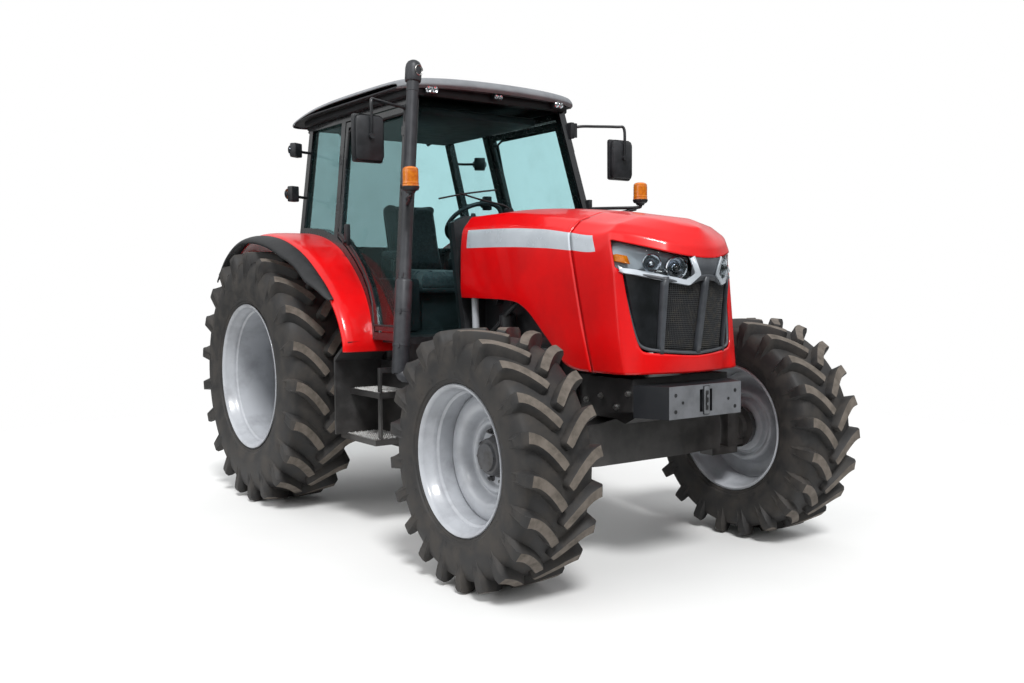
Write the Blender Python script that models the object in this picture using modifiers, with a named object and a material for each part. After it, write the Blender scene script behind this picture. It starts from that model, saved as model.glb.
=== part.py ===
# Farm tractor with a glazed cab, front-wheel drive and a rear three-point linkage.
# Metres, +Z up, front towards -Y, the tractor's right-hand side towards -X.
# The origin is on the floor under the middle of the whole machine.
import math

import bpy
import bmesh
from mathutils import Matrix, Vector

# ---- driving dimensions -------------------------------------------------
front_axle_y = -1.575
rear_axle_y = 1.125
front_centre_x = 0.965
rear_centre_x = 0.960
front_tyre_radius = 0.650
rear_tyre_radius = 0.878
front_tyre_width = 0.440
rear_tyre_width = 0.500
front_rim_radius = 0.381
rear_rim_radius = 0.508
front_rim_width = 0.370
rear_rim_width = 0.430
wheel_facets = 30
rim_wall = 0.012
bead_depth = 0.024

kingpin_x = 0.760
hub_hole_radius = 0.090

cab_top_z = 2.700
cab_top_x = 0.600
cab_side_lean = 0.171
cab_wall = 0.050
floor_z = 1.200
floor_thickness = 0.040
wheelhouse_x = 0.660
glass_thickness = 0.008

hood_skin = 0.014
fender_outer_x = 1.045
fender_skin = 0.014
lip_reach = 0.115
lip_droop = 0.045

seat_gap = 0.0003
moving_gap = 0.009
running_gap = 0.0006
shaft_gap = 0.0002

sides = (("right", -1), ("left", 1))

# ---- scene set-up ---------------------------------------------------------
for old in list(bpy.data.objects):
    bpy.data.objects.remove(old, do_unlink=True)

parts = bpy.data.collections.new("farm_tractor")
cutters = bpy.data.collections.new("cutters")
bpy.context.scene.collection.children.link(parts)
bpy.context.scene.collection.children.link(cutters)

# name: (red, green, blue, roughness, metallic), linear colour
finishes = {
    "red_paint": (0.62, 0.008, 0.008, 0.25, 0.0),
    "silver_paint": (0.52, 0.53, 0.56, 0.35, 0.4),
    "black_paint": (0.012, 0.012, 0.014, 0.45, 0.0),
    "grey_casting": (0.06, 0.062, 0.065, 0.6, 0.2),
    "tyre_rubber": (0.022, 0.021, 0.02, 0.85, 0.0),
    "black_rubber": (0.01, 0.01, 0.011, 0.8, 0.0),
    "black_plastic": (0.016, 0.016, 0.018, 0.5, 0.0),
    "grey_roof": (0.25, 0.26, 0.28, 0.4, 0.0),
    "glass": (0.55, 0.75, 0.73, 0.05, 0.0),
    "lamp": (0.75, 0.76, 0.78, 0.15, 0.3),
    "amber": (0.9, 0.25, 0.01, 0.3, 0.0),
    "steel": (0.4, 0.41, 0.42, 0.35, 0.9),
    "seat_cloth": (0.03, 0.03, 0.034, 0.9, 0.0),
}


# ---- modelling helpers ------------------------------------------------------
def paint(part, finish):
    red, green, blue, roughness, metallic = finishes[finish]
    surface = bpy.data.materials.new(part.name + "_" + finish)
    surface.use_nodes = True
    shader = surface.node_tree.nodes["Principled BSDF"]
    shader.inputs["Base Color"].default_value = (red, green, blue, 1.0)
    shader.inputs["Roughness"].default_value = roughness
    shader.inputs["Metallic"].default_value = metallic
    part.data.materials.clear()
    part.data.materials.append(surface)


def part_from_bmesh(name, finish, shape):
    shape.normal_update()
    bmesh.ops.recalc_face_normals(shape, faces=shape.faces)
    if shape.calc_volume(signed=True) < 0:
        bmesh.ops.reverse_faces(shape, faces=shape.faces)
    mesh = bpy.data.meshes.new(name)
    shape.to_mesh(mesh)
    shape.free()
    part = bpy.data.objects.new(name, mesh)
    parts.objects.link(part)
    paint(part, finish)
    return part


# a curve object as a welded mesh
def curve_mesh(curve):
    holder = bpy.data.objects.new("holder", curve)
    parts.objects.link(holder)
    graph = bpy.context.evaluated_depsgraph_get()
    mesh = bpy.data.meshes.new_from_object(holder.evaluated_get(graph))
    bpy.data.objects.remove(holder, do_unlink=True)
    shape = bmesh.new()
    shape.from_mesh(mesh)
    bmesh.ops.remove_doubles(shape, verts=shape.verts, dist=0.00002)
    return shape


# outlines lie across the axis: X takes (y, z), Y takes (x, z), Z takes (x, y)
def prism(name, finish, axis, start, end, loops, warp=None):
    curve = bpy.data.curves.new(name, "CURVE")
    curve.dimensions = "2D"
    curve.fill_mode = "BOTH"
    curve.extrude = abs(end - start) / 2
    for loop in loops:
        spline = curve.splines.new("POLY")
        spline.points.add(len(loop) - 1)
        for point, (across, up) in zip(spline.points, loop):
            point.co = (across, up, 0.0, 1.0)
        spline.use_cyclic_u = True
    shape = curve_mesh(curve)
    middle = (start + end) / 2
    for vertex in shape.verts:
        across, up, along = vertex.co
        along += middle
        if axis == "X":
            place = (along, across, up)
        elif axis == "Y":
            place = (across, along, up)
        else:
            place = (across, up, along)
        vertex.co = warp(*place) if warp else place
    return part_from_bmesh(name, finish, shape)


def box(name, finish, low, high):
    shape = bmesh.new()
    bmesh.ops.create_cube(shape, size=1.0)
    for vertex in shape.verts:
        for axis in range(3):
            vertex.co[axis] = low[axis] if vertex.co[axis] < 0 else high[axis]
    return part_from_bmesh(name, finish, shape)


def rod(name, finish, start, end, radius, facets=12, end_radius=None):
    start, end = Vector(start), Vector(end)
    shape = bmesh.new()
    bmesh.ops.create_cone(shape, cap_ends=True, segments=facets, radius1=radius,
                          radius2=radius if end_radius is None else end_radius,
                          depth=(end - start).length)
    turn = (end - start).to_track_quat("Z", "Y").to_matrix().to_4x4()
    shape.transform(Matrix.Translation((start + end) / 2) @ turn)
    return part_from_bmesh(name, finish, shape)


def tube(name, finish, points, radius):
    curve = bpy.data.curves.new(name, "CURVE")
    curve.dimensions = "3D"
    curve.bevel_depth = radius
    curve.bevel_resolution = 2
    curve.use_fill_caps = True
    spline = curve.splines.new("POLY")
    spline.points.add(len(points) - 1)
    for point, place in zip(spline.points, points):
        point.co = (*place, 1.0)
    return part_from_bmesh(name, finish, curve_mesh(curve))


# profile: (radius, outboard distance), down the outer side first; local +Z points outboard
def turned(name, finish, profile, centre, side, facets):
    mesh = bpy.data.meshes.new(name)
    count = len(profile)
    edges = [(index, (index + 1) % count) for index in range(count)]
    mesh.from_pydata([(radius, 0.0, out) for radius, out in profile], edges, [])
    part = bpy.data.objects.new(name, mesh)
    parts.objects.link(part)
    screw = part.modifiers.new("turn", "SCREW")
    screw.axis = "Z"
    screw.steps = facets
    screw.render_steps = facets
    screw.use_merge_vertices = True
    screw.merge_threshold = 0.0001
    stand_on_facet = Matrix.Rotation(math.pi / facets, 4, "Z")
    face_out = Matrix.Rotation(side * math.pi / 2, 4, "Y")
    part.matrix_world = Matrix.Translation(centre) @ face_out @ stand_on_facet
    paint(part, finish)
    return part


# rows of points, each row the same length, closed round each row and capped at both ends
def loft(name, finish, rows):
    shape = bmesh.new()
    rings = [[shape.verts.new(point) for point in row] for row in rows]
    count = len(rows[0])
    for ring, after in zip(rings, rings[1:]):
        for index in range(count):
            follow = (index + 1) % count
            shape.faces.new((ring[index], ring[follow], after[follow], after[index]))
    shape.faces.new(rings[0])
    shape.faces.new(rings[-1])
    return part_from_bmesh(name, finish, shape)


def boolean(part, tool, operation):
    for collection in list(tool.users_collection):
        collection.objects.unlink(tool)
    cutters.objects.link(tool)
    tool.hide_render = True
    tool.display_type = "WIRE"
    change = part.modifiers.new(operation.lower(), "BOOLEAN")
    change.operation = operation
    change.solver = "EXACT"
    change.object = tool
    return part


def join(part, *tools):
    for tool in tools:
        boolean(part, tool, "UNION")
    return part


def cut(part, *tools):
    for tool in tools:
        boolean(part, tool, "DIFFERENCE")
    return part


# moves a part's origin on to the axis it turns about
def set_origin(part, point):
    part.data.transform(Matrix.Translation(-Vector(point)))
    part.location = point


# moves an outline's edges inwards (or outwards, if negative) by a distance
def inset(loop, distance):
    count = len(loop)
    area = sum(loop[i][0] * loop[(i + 1) % count][1] - loop[(i + 1) % count][0] * loop[i][1]
               for i in range(count))
    turn = 1 if area > 0 else -1
    moved = []
    for index in range(count):
        before = Vector(loop[index - 1])
        here = Vector(loop[index])
        after = Vector(loop[(index + 1) % count])
        first = (here - before).normalized()
        second = (after - here).normalized()
        normal_a = Vector((-first.y, first.x)) * turn
        normal_b = Vector((-second.y, second.x)) * turn
        middle = (normal_a + normal_b).normalized()
        moved.append(tuple(here + middle * distance / max(middle.dot(normal_a), 0.3)))
    return moved


# ---- shared lines of the cab -------------------------------------------------
# half width of the cab's outer side at a height
def side_x(z):
    return cab_top_x + cab_side_lean * (cab_top_z - z)


# front face of the front pillars, and the rear face of the rear pillars, at a height
def pillar_front_y(z):
    return -0.228 - 0.1824 * (cab_top_z - z)


def pillar_rear_y(z):
    return 1.270 - 0.114 * (cab_top_z - z)


# leans an outline drawn on a flat plane over on to the cab's side
def lean_on_side(side, outer_offset=0.0):
    def warp(x, y, z):
        return (side * (side_x(z) + outer_offset + x), y, z)
    return warp


# the line where cab and fender meet, from the floor up and back: (y, z)
hinge_radius = 0.0120


def hinge_y(z):
    return pillar_front_y(z) + 0.030


def hinge_point(side, z):
    return (side * (side_x(z) + hinge_radius * 1.03 + seat_gap), hinge_y(z), z)


# part of a hinge strap, between two distances behind the hinge line
def strap_outline(low, near, far):
    heights = (low + 0.020, low + 0.080)
    return [(hinge_y(z) + near, z) for z in heights] + [(hinge_y(z) + far, z) for z in heights[::-1]]


seal_line = [(-0.154, 1.180), (-0.085, 1.310), (0.010, 1.430), (0.125, 1.535),
             (0.252, 1.625), (0.400, 1.712), (0.556, 1.783), (0.800, 1.850),
             (1.100, 1.885)]
fender_rear = [(1.350, 1.860), (1.600, 1.755), (1.790, 1.590)]

front_pillar = 0.055
middle_pillar_y = (0.545, 0.605)
middle_pillar_top_y = (0.668, 0.728)
rear_pillar = 0.060
header_z = 2.640
sill_z = 1.225


def frame_outline():
    top = [(pillar_front_y(cab_top_z), cab_top_z), (pillar_rear_y(cab_top_z), cab_top_z)]
    seal = [(y, z + seat_gap) for y, z in reversed(seal_line)]
    back = [(pillar_rear_y(seal[0][1]), seal[0][1])]
    foot = [(pillar_front_y(seal[-1][1]), seal[-1][1])]
    return top + back + seal + foot


def door_opening():
    front = [(pillar_front_y(z) + front_pillar, z) for z in (sill_z, header_z)]
    rear = [(middle_pillar_top_y[0], header_z), (middle_pillar_y[0], 1.835)]
    sill = [(y - 0.010, z + 0.048) for y, z in reversed(seal_line[1:6])]
    return [front[0], front[1]] + rear + sill + [(-0.165, sill_z)]


def quarter_opening():
    return [(middle_pillar_y[1], 1.855), (middle_pillar_top_y[1], header_z),
            (pillar_rear_y(header_z) - rear_pillar, header_z),
            (pillar_rear_y(1.93) - rear_pillar, 1.93), (0.80, 1.905)]


# ---- wheels --------------------------------------------------------------------
def tyre_profile(tyre_radius, rim_radius, tyre_width, rim_width):
    tread = tyre_radius / math.cos(math.pi / wheel_facets)
    height = tread - rim_radius
    half = tyre_width / 2
    bead = rim_width / 2 - 0.0205
    outer = [(rim_radius - bead_depth + running_gap, bead), (rim_radius + 0.006, bead + 0.0075),
             (rim_radius + 0.40 * height, half), (rim_radius + 0.80 * height, half - 0.012),
             (tread, half - 0.055)]
    lower = [(radius, -out) for radius, out in reversed(outer)]
    return outer + lower


def rim_profile(rim_radius, rim_width, ring_out, hub_out):
    half = rim_width / 2
    bead = rim_radius - bead_depth
    well = rim_radius - 0.052
    outer = [(rim_radius, half), (bead, half - 0.020), (well, 0.060),
             (well, -0.060), (bead, 0.020 - half), (rim_radius, -half)]
    inner_low = [(bead - rim_wall, 0.010 - half), (well - rim_wall, -0.060)]
    disc = [(well - rim_wall, ring_out - rim_wall), (0.55 * well, hub_out - rim_wall),
            (hub_hole_radius, hub_out - rim_wall), (hub_hole_radius, hub_out),
            (0.55 * well, hub_out), (well - rim_wall, ring_out)]
    inner_high = [(well - rim_wall, 0.060), (bead - rim_wall, half - 0.010)]
    if ring_out - rim_wall < -0.060:
        inner_low = inner_low[:1]
        disc[0] = (bead - rim_wall - 0.003, ring_out - rim_wall)
        disc[-1] = (bead - rim_wall - 0.006, ring_out)
        inner_high = [(well - rim_wall, -0.060)] + inner_high
    return outer + inner_low + disc + inner_high


# axle: centre x, y, tyre radius, tyre width, rim radius, rim width, disc ring out, disc hub out
axles = {
    "front": (front_centre_x, front_axle_y, front_tyre_radius, front_tyre_width,
              front_rim_radius, front_rim_width, 0.020, -0.062),
    "rear": (rear_centre_x, rear_axle_y, rear_tyre_radius, rear_tyre_width,
             rear_rim_radius, rear_rim_width, -0.170, -0.200),
}


def build_wheels():
    for axle, (x, y, radius, width, rim, rim_wide, ring_out, hub_out) in axles.items():
        tyre = tyre_profile(radius, rim, width, rim_wide)
        wheel = rim_profile(rim, rim_wide, ring_out, hub_out)
        for label, side in sides:
            centre = (side * x, y, radius)
            turned(f"{axle}_tyre_{label}", "tyre_rubber", tyre, centre, side, wheel_facets)
            turned(f"{axle}_rim_{label}", "silver_paint", wheel, centre, side, wheel_facets)


spindle_radius = hub_hole_radius * math.cos(math.pi / wheel_facets) - running_gap


def spindle(name, start_x, end_x, y, z):
    part = rod(name, "grey_casting", (start_x, y, z), (end_x, y, z), spindle_radius, wheel_facets)
    return part


# ---- driveline -------------------------------------------------------------------
beam_z = front_tyre_radius
beam_half = 0.085
yoke_half = 0.125


def build_driveline():
    engine = prism("engine_block", "black_paint", "X", -0.27, 0.27,
                   [[(-1.42, 0.86), (-1.28, 0.62), (-0.66, 0.62), (-0.5303, 0.72),
                     (-0.5303, 1.50), (-1.42, 1.50)]])
    gearbox = prism("gearbox_housing", "black_paint", "X", -0.24, 0.24,
                    [[(-0.53, 0.60), (0.8497, 0.56), (0.8497, 1.10), (-0.53, 1.10)]])
    axle_shape = prism("rear_axle_housing", "black_paint", "X", -0.26, 0.26,
                       [[(0.85, 0.58), (1.36, 0.58), (1.42, 0.68), (1.42, 1.10),
                         (1.34, floor_z - floor_thickness - seat_gap),
                         (0.85, floor_z - floor_thickness - seat_gap)]])
    for side in (-1, 1):
        hub_face = side * (rear_centre_x - 0.212 - seat_gap)
        trumpet = rod("trumpet", "black_paint", (side * 0.25, rear_axle_y, rear_tyre_radius),
                      (hub_face, rear_axle_y, rear_tyre_radius), 0.150, 16, 0.115)
        stub = rod("stub", "black_paint", (side * 0.60, rear_axle_y, rear_tyre_radius),
                   (side * (rear_centre_x - 0.150), rear_axle_y, rear_tyre_radius),
                   spindle_radius, wheel_facets)
        ear = prism("ear", "black_paint", "X", side * 0.130, side * 0.165,
                    [[(1.40, 1.00), (1.455, 1.00), (1.505, 1.06), (1.505, 1.14),
                      (1.455, 1.19), (1.33, 1.15)]])
        link_lug = prism("link_lug", "black_paint", "X", side * 0.255, side * 0.285,
                         [[(1.30, 0.60), (1.38, 0.46), (1.47, 0.46), (1.47, 0.58),
                           (1.40, 0.70)]])
        join(axle_shape, trumpet, stub, ear, link_lug)
    shaft_bore = rod("shaft_bore", "black_paint", (-0.30, lift_pivot[0], lift_pivot[1]),
                     (0.30, lift_pivot[0], lift_pivot[1]),
                     (lift_shaft_radius + shaft_gap) / math.cos(math.pi / 16), 16)
    drive_stub = rod("drive_stub", "black_paint", (0, 1.40, 0.70), (0, 1.52, 0.70), 0.0175, 12)
    drive_shield = prism("drive_shield", "black_paint", "Y", 1.40, 1.50,
                         [[(-0.11, 0.70), (-0.11, 0.80), (0.11, 0.80), (0.11, 0.70),
                           (0.10, 0.70), (0.10, 0.79), (-0.10, 0.79), (-0.10, 0.70)]])
    join(axle_shape, drive_stub, drive_shield)
    cut(axle_shape, shaft_bore)
    return engine, gearbox


# ---- front axle, its carrier and the weight bracket ----------------------------------
def build_front_end():
    carrier = prism("front_support", "black_paint", "X", -0.25, 0.25,
                    [[(-1.96, 0.86), (-1.80, 0.78), (-1.72, 0.80), (-1.44, 0.80),
                      (-1.4203, 0.86), (-1.4203, 1.02), (-1.96, 1.035)]])
    for side in (-1, 1):
        plate = prism("plate", "black_paint", "X", side * 0.245, side * 0.345,
                      [[(-1.96, 0.865), (-1.72, 0.84), (-1.60, 0.90), (-1.60, 1.03),
                        (-1.96, 1.03)]])
        join(carrier, plate)
    half = 0.26
    face = -2.135
    bracket = prism("weight_bracket", "grey_casting", "Z", 0.835, 1.000,
                    [[(-half, face), (half, face), (half + 0.08, -1.9603),
                      (-half - 0.08, -1.9603)]])
    slot = box("slot", "grey_casting", (-0.045, face - 0.05, 0.86), (0.045, face + 0.03, 0.975))
    cut(bracket, slot)
    pin_plate = box("pin_plate", "grey_casting", (-0.020, face + 0.004, 0.85),
                    (0.020, face + 0.06, 0.985))
    join(bracket, pin_plate)
    beam = prism("front_axle_beam", "black_paint", "Y", front_axle_y - beam_half,
                 front_axle_y + beam_half,
                 [[(-0.60, beam_z - 0.10), (-0.30, beam_z - 0.11), (0.30, beam_z - 0.11),
                   (0.60, beam_z - 0.10), (0.60, beam_z + 0.10), (0.30, beam_z + 0.12),
                   (0.12, 0.7997), (-0.12, 0.7997), (-0.30, beam_z + 0.12),
                   (-0.60, beam_z + 0.10)]])
    for side in (-1, 1):
        for low, high in ((-0.150, -0.105), (0.105, 0.150)):
            arm = box("arm", "black_paint", (side * 0.62, front_axle_y - 0.05, beam_z + low),
                      (side * (kingpin_x + 0.045), front_axle_y + 0.05, beam_z + high))
            join(beam, arm)
        end_web = box("end_web", "black_paint",
                      (side * 0.59, front_axle_y - 0.05, beam_z - 0.149),
                      (side * 0.655, front_axle_y + 0.05, beam_z + 0.149))
        join(beam, end_web)
    for label, side in sides:
        pivot = (side * kingpin_x, front_axle_y, beam_z)
        body = box(f"front_knuckle_{label}", "black_paint",
                   (side * (kingpin_x - 0.045), front_axle_y - 0.055, beam_z - 0.1045),
                   (side * (kingpin_x + 0.090), front_axle_y + 0.055, beam_z + 0.1045))
        hub = rod("hub", "black_paint", (side * (kingpin_x + 0.085), front_axle_y, beam_z),
                  (side * (front_centre_x - 0.0745), front_axle_y, beam_z), 0.130, 16, 0.120)
        stub = spindle("stub", side * (kingpin_x + 0.05), side * (front_centre_x - 0.010),
                       front_axle_y, beam_z)
        steer_arm = box("steer_arm", "black_paint",
                        (side * (kingpin_x - 0.040), front_axle_y + 0.04, beam_z - 0.060),
                        (side * (kingpin_x + 0.010), front_axle_y + 0.215, beam_z - 0.020))
        join(body, hub, stub, steer_arm)


# ---- tanks, steps --------------------------------------------------------------------
def build_side_gear():
    under_floor = floor_z - floor_thickness - seat_gap
    for label, side in sides:
        prism(f"side_tank_{label}", "black_plastic", "X", side * 0.2403, side * 0.655,
              [[(-0.52, 0.62), (-0.46, 0.52), (-0.02, 0.52), (0.04, 0.60),
                (0.04, under_floor), (-0.52, under_floor)]])
        ladder = box(f"steps_{label}", "black_paint", (side * 0.6553, -0.345, 0.50),
                     (side * 0.705, 0.035, 1.04))
        for low, high in ((-0.345, -0.330), (0.020, 0.035)):
            cheek = prism("cheek", "black_paint", "X", side * 0.69, side * 0.70, [[
                (low, 0.50), (high, 0.50), (high, 1.04), (low, 1.04)]])
            join(ladder, cheek)
        # tread: bottom z, front y, rear y, outer x
        treads = ((0.545, -0.345, 0.120, 0.950), (0.830, -0.345, 0.035, 0.920))
        for bottom, front, rear, outer in treads:
            tread = box("tread", "black_paint", (side * 0.69, front, bottom),
                        (side * outer, rear, bottom + 0.035))
            join(ladder, tread)
        rail = prism("rail", "black_paint", "X", side * 0.9, side * 0.912, [[
            (-0.345, 0.55), (-0.310, 0.55), (-0.310, 1.00), (-0.345, 1.00)]])
        rail_top = box("rail_top", "black_paint", (side * 0.69, -0.345, 0.985),
                       (side * 0.912, -0.310, 1.015))
        join(ladder, rail, rail_top)


# ---- cab ---------------------------------------------------------------------------------
def build_cab():
    prism("cab_floor", "black_paint", "Z", floor_z - floor_thickness, floor_z,
          [[(-0.800, -0.470), (0.800, -0.470), (0.800, -0.175), (0.645, -0.175), (0.645, 1.060),
            (-0.645, 1.060), (-0.645, -0.175), (-0.800, -0.175)]])
    for label, side in sides:
        prism(f"cab_side_{label}", "black_paint", "X", -cab_wall, 0.0,
              [frame_outline(), door_opening(), quarter_opening()], lean_on_side(side))
        door = inset(door_opening(), moving_gap)
        pane = inset(door, 0.038)
        leaf = prism(f"door_{label}", "black_paint", "X", -0.036, -0.002,
                     [door, pane], lean_on_side(side))
        for low in (1.42, 2.42):
            barrel = rod("barrel", "black_paint", hinge_point(side, low),
                         hinge_point(side, low + 0.10), hinge_radius, 12)
            strap = prism("strap", "black_paint", "X", 0.003, 0.011,
                          [strap_outline(low, 0.0, 0.065)], lean_on_side(side))
            pad = prism("pad", "black_paint", "X", -0.010, 0.006,
                        [strap_outline(low, 0.042, 0.062)], lean_on_side(side))
            join(leaf, barrel, strap, pad)
        prism(f"door_glass_{label}", "glass", "X", -0.022, -0.022 + glass_thickness,
              [inset(pane, seat_gap)], lean_on_side(side))
        prism(f"quarter_glass_{label}", "glass", "X", -0.022, -0.022 + glass_thickness,
              [inset(quarter_opening(), seat_gap)], lean_on_side(side))

    def on_front(x, y, z):
        return (x, y + pillar_front_y(z) + 0.030, z)

    def on_back(x, y, z):
        return (x, y + pillar_rear_y(z) - 0.030, z)

    def inner_x(z):
        return side_x(z) - cab_wall - seat_gap

    screen_low = 1.215
    prism("windscreen", "glass", "Y", 0.0, glass_thickness,
          [[(-inner_x(2.685), 2.685), (inner_x(2.685), 2.685), (inner_x(screen_low), screen_low),
            (hood_rear_half + seat_gap, screen_low), (hood_rear_half + seat_gap, 1.90),
            (0.30, 1.945 + seat_gap), (-0.30, 1.945 + seat_gap),
            (-hood_rear_half - seat_gap, 1.90), (-hood_rear_half - seat_gap, screen_low),
            (-inner_x(screen_low), screen_low)]], on_front)
    firewall = prism("firewall", "black_plastic", "Y", -0.040, 0.030,
          [[(-hood_rear_half, floor_z + seat_gap), (hood_rear_half, floor_z + seat_gap),
            (hood_rear_half, 1.90), (0.30, 1.945), (-0.30, 1.945), (-hood_rear_half, 1.90)]],
          on_front)
    y, z = hood_hinge[1:]
    for side in (-1, 1):
        lug = box("hinge_lug", "black_plastic",
                  (side * 0.10, y + hood_hinge_radius + seat_gap, z - 0.012),
                  (side * 0.15, y + 0.065, z + 0.012))
        join(firewall, lug)
    prism("rear_window", "glass", "Y", 0.0, glass_thickness,
          [[(-inner_x(2.685), 2.685), (inner_x(2.685), 2.685), (inner_x(1.91), 1.91),
            (0.64, 1.91), (0.64, 1.80), (-0.64, 1.80), (-0.64, 1.91), (-inner_x(1.91), 1.91)]],
          on_back)
    prism("rear_wall", "black_paint", "Y", -0.020, 0.020,
          [[(-0.640, floor_z + seat_gap), (0.640, floor_z + seat_gap), (0.640, 1.80 - seat_gap),
            (-0.640, 1.80 - seat_gap)]], on_back)
    build_roof()
    build_cab_inside()


# roof stations across: x, front y, rear y, underside z, crown lift
roof_stations = ((-0.690, -0.20, 1.26, 2.735, 0.015), (-0.610, -0.30, 1.42, 2.7003, 0.083),
                 (-0.400, -0.335, 1.53, 2.7003, 0.100), (0.0, -0.350, 1.56, 2.7003, 0.112),
                 (0.400, -0.335, 1.53, 2.7003, 0.100), (0.610, -0.30, 1.42, 2.7003, 0.083),
                 (0.690, -0.20, 1.26, 2.735, 0.015))


def build_roof():
    rows = []
    for x, front, rear, low, lift in roof_stations:
        rows.append([(x, front + 0.02, low), (x, front, low + 0.2 * lift),
                     (x, front + 0.09, low + 0.80 * lift), (x, 0.40, low + lift),
                     (x, 1.10, low + 0.55 * lift), (x, rear, low + 0.05),
                     (x, rear - 0.02, low + 0.030), (x, 1.25 - 0.02, low)])
    loft("roof", "grey_roof", rows)


def build_cab_inside():
    base = floor_z + seat_gap
    box("seat_base", "black_plastic", (-0.20, 0.36, base), (0.20, 0.76, 1.47))
    prism("seat_cushion", "seat_cloth", "X", -0.245, 0.245,
          [[(0.27, 1.4703), (0.80, 1.4703), (0.92, 2.10), (0.84, 2.12), (0.72, 1.60),
            (0.28, 1.59)]])
    wheel_centre = Vector(steering_centre)
    lean = Matrix.Rotation(math.radians(-steering_lean), 3, "X")
    upright = lean @ Vector((0, 0, 1))
    across = lean @ Vector((0, 0.045, 0))
    foot = wheel_centre - upright * (steering_column + seat_gap)
    face_low, face_high = foot + across, foot - across
    prism("dashboard", "black_plastic", "X", -0.20, 0.20,
          [[(-0.380, base), (-0.150, base), (-0.130, 1.62), (face_low.y, face_low.z),
            (face_high.y, face_high.z), (-0.27, 1.87)]])
    rim_points = []
    turns = 16
    for index in range(turns):
        angle = 2 * math.pi * index / turns
        spoke = lean @ Vector((math.cos(angle), math.sin(angle), 0)) * 0.195
        rim_points.append(wheel_centre + spoke)
    curve = bpy.data.curves.new("steering_wheel", "CURVE")
    curve.dimensions = "3D"
    curve.bevel_depth = 0.014
    curve.bevel_resolution = 1
    spline = curve.splines.new("POLY")
    spline.points.add(turns - 1)
    for point, place in zip(spline.points, rim_points):
        point.co = (*place, 1.0)
    spline.use_cyclic_u = True
    wheel = part_from_bmesh("steering_wheel", "black_plastic", curve_mesh(curve))
    hub = rod("hub", "black_plastic", wheel_centre - upright * steering_column,
              wheel_centre + upright * 0.010, 0.035)
    join(wheel, hub)
    for angle in (90, 210, 330):
        turn = math.radians(angle)
        spoke = lean @ Vector((math.cos(turn), math.sin(turn), 0)) * 0.190
        join(wheel, rod("spoke", "black_plastic", wheel_centre, wheel_centre + spoke, 0.009, 8))


steering_lean = 38
steering_centre = (0.0, 0.0, 1.93)
steering_column = 0.100


# ---- fenders -----------------------------------------------------------------------------
def thicken(line, thickness):
    below = []
    for index, (y, z) in enumerate(line):
        before = Vector(line[max(index - 1, 0)])
        after = Vector(line[min(index + 1, len(line) - 1)])
        along = (after - before).normalized()
        below.append((y + along.y * thickness, z - along.x * thickness))
    return line + below[::-1]


def build_fenders():
    arch = seal_line + fender_rear
    lip_line = arch[2:]
    start = lip_line[0][0]
    for label, side in sides:
        fender = prism(f"fender_{label}", "red_paint", "X", side * wheelhouse_x,
                       side * fender_outer_x, [thicken(arch, fender_skin)])
        wall = prism("wall", "red_paint", "X", side * wheelhouse_x,
                     side * (wheelhouse_x + fender_skin),
                     [[(y, z - fender_skin / 2) for y, z in arch] + [(1.70, 1.10), (-0.05, 1.16)]])
        join(fender, wall)

        def widen(x, y, z, side=side):
            reach = min(1.0, max(0.0, (y - start) / 0.55))
            outer = abs(x) > fender_outer_x + 0.05
            along = fender_outer_x + seat_gap + (0.006 + lip_reach * reach if outer else 0.0)
            return (side * along, y, z - (lip_droop * reach if outer else 0.0))
        prism(f"fender_lip_{label}", "black_rubber", "X", side * fender_outer_x,
              side * (fender_outer_x + lip_reach), [thicken(lip_line, 0.016)], widen)
        prism(f"fender_liner_{label}", "black_plastic", "X", side * 0.7053,
              side * (fender_outer_x - 0.02),
              [[(-0.154, 1.170), (0.0353, 1.045), (0.0353, 0.5803), (0.055, 0.5803),
                (0.055, 1.058), (-0.118, 1.170)]])


# ---- hood, grille, lamps -----------------------------------------------------------------
hood_rear_half = 0.405

# along the hood, rear to front. Each station: low y, shoulder y, crown y,
# low half width, shoulder half width, low z, shoulder z, crown z
hood_stations = (
    (-0.500, -0.470, -0.470, 0.420, 0.400, 1.080, 1.870, 1.962),
    (-0.950, -0.930, -0.930, 0.425, 0.408, 1.060, 1.850, 1.958),
    (-1.350, -1.300, -1.300, 0.425, 0.410, 1.057, 1.812, 1.935),
    (-1.700, -1.600, -1.640, 0.415, 0.408, 1.056, 1.770, 1.893),
    (-1.880, -1.760, -1.920, 0.400, 0.396, 1.056, 1.742, 1.840),
)


def hood_row(low_y, shoulder_y, crown_y, low_half, shoulder_half, low_z, shoulder_z, crown_z):
    rise = crown_z - shoulder_z
    run = crown_y - shoulder_y
    right = [(low_half, low_y, low_z),
             (low_half + 0.012, low_y + 0.45 * (shoulder_y - low_y),
              low_z + 0.45 * (shoulder_z - low_z)),
             (shoulder_half + 0.012, shoulder_y, shoulder_z - 0.07),
             (shoulder_half - 0.012, shoulder_y + 0.05 * run, shoulder_z),
             (shoulder_half - 0.075, shoulder_y + 0.25 * run, shoulder_z + 0.50 * rise),
             (0.48 * shoulder_half, shoulder_y + 0.75 * run, shoulder_z + 0.86 * rise)]
    left = [(-x, y, z) for x, y, z in reversed(right)]
    return right + [(0.0, crown_y, crown_z)] + left


# the nose: two more rows that wrap round the front, then a flat front
nose_rows = (
    [(0.380, -1.955, 1.056), (0.392, -1.960, 1.340), (0.392, -1.880, 1.610),
     (0.375, -1.850, 1.700), (0.320, -1.930, 1.745), (0.160, -2.070, 1.785)],
    [(0.230, -2.040, 1.050), (0.235, -2.070, 1.250), (0.240, -2.105, 1.560),
     (0.225, -2.100, 1.640), (0.170, -2.110, 1.700), (0.090, -2.125, 1.735)],
)
nose_tops = ((0.0, -2.100, 1.795), (0.0, -2.148, 1.742))
hood_hinge = (0.0, -0.440, 1.885)
hood_hinge_radius = 0.012


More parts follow.
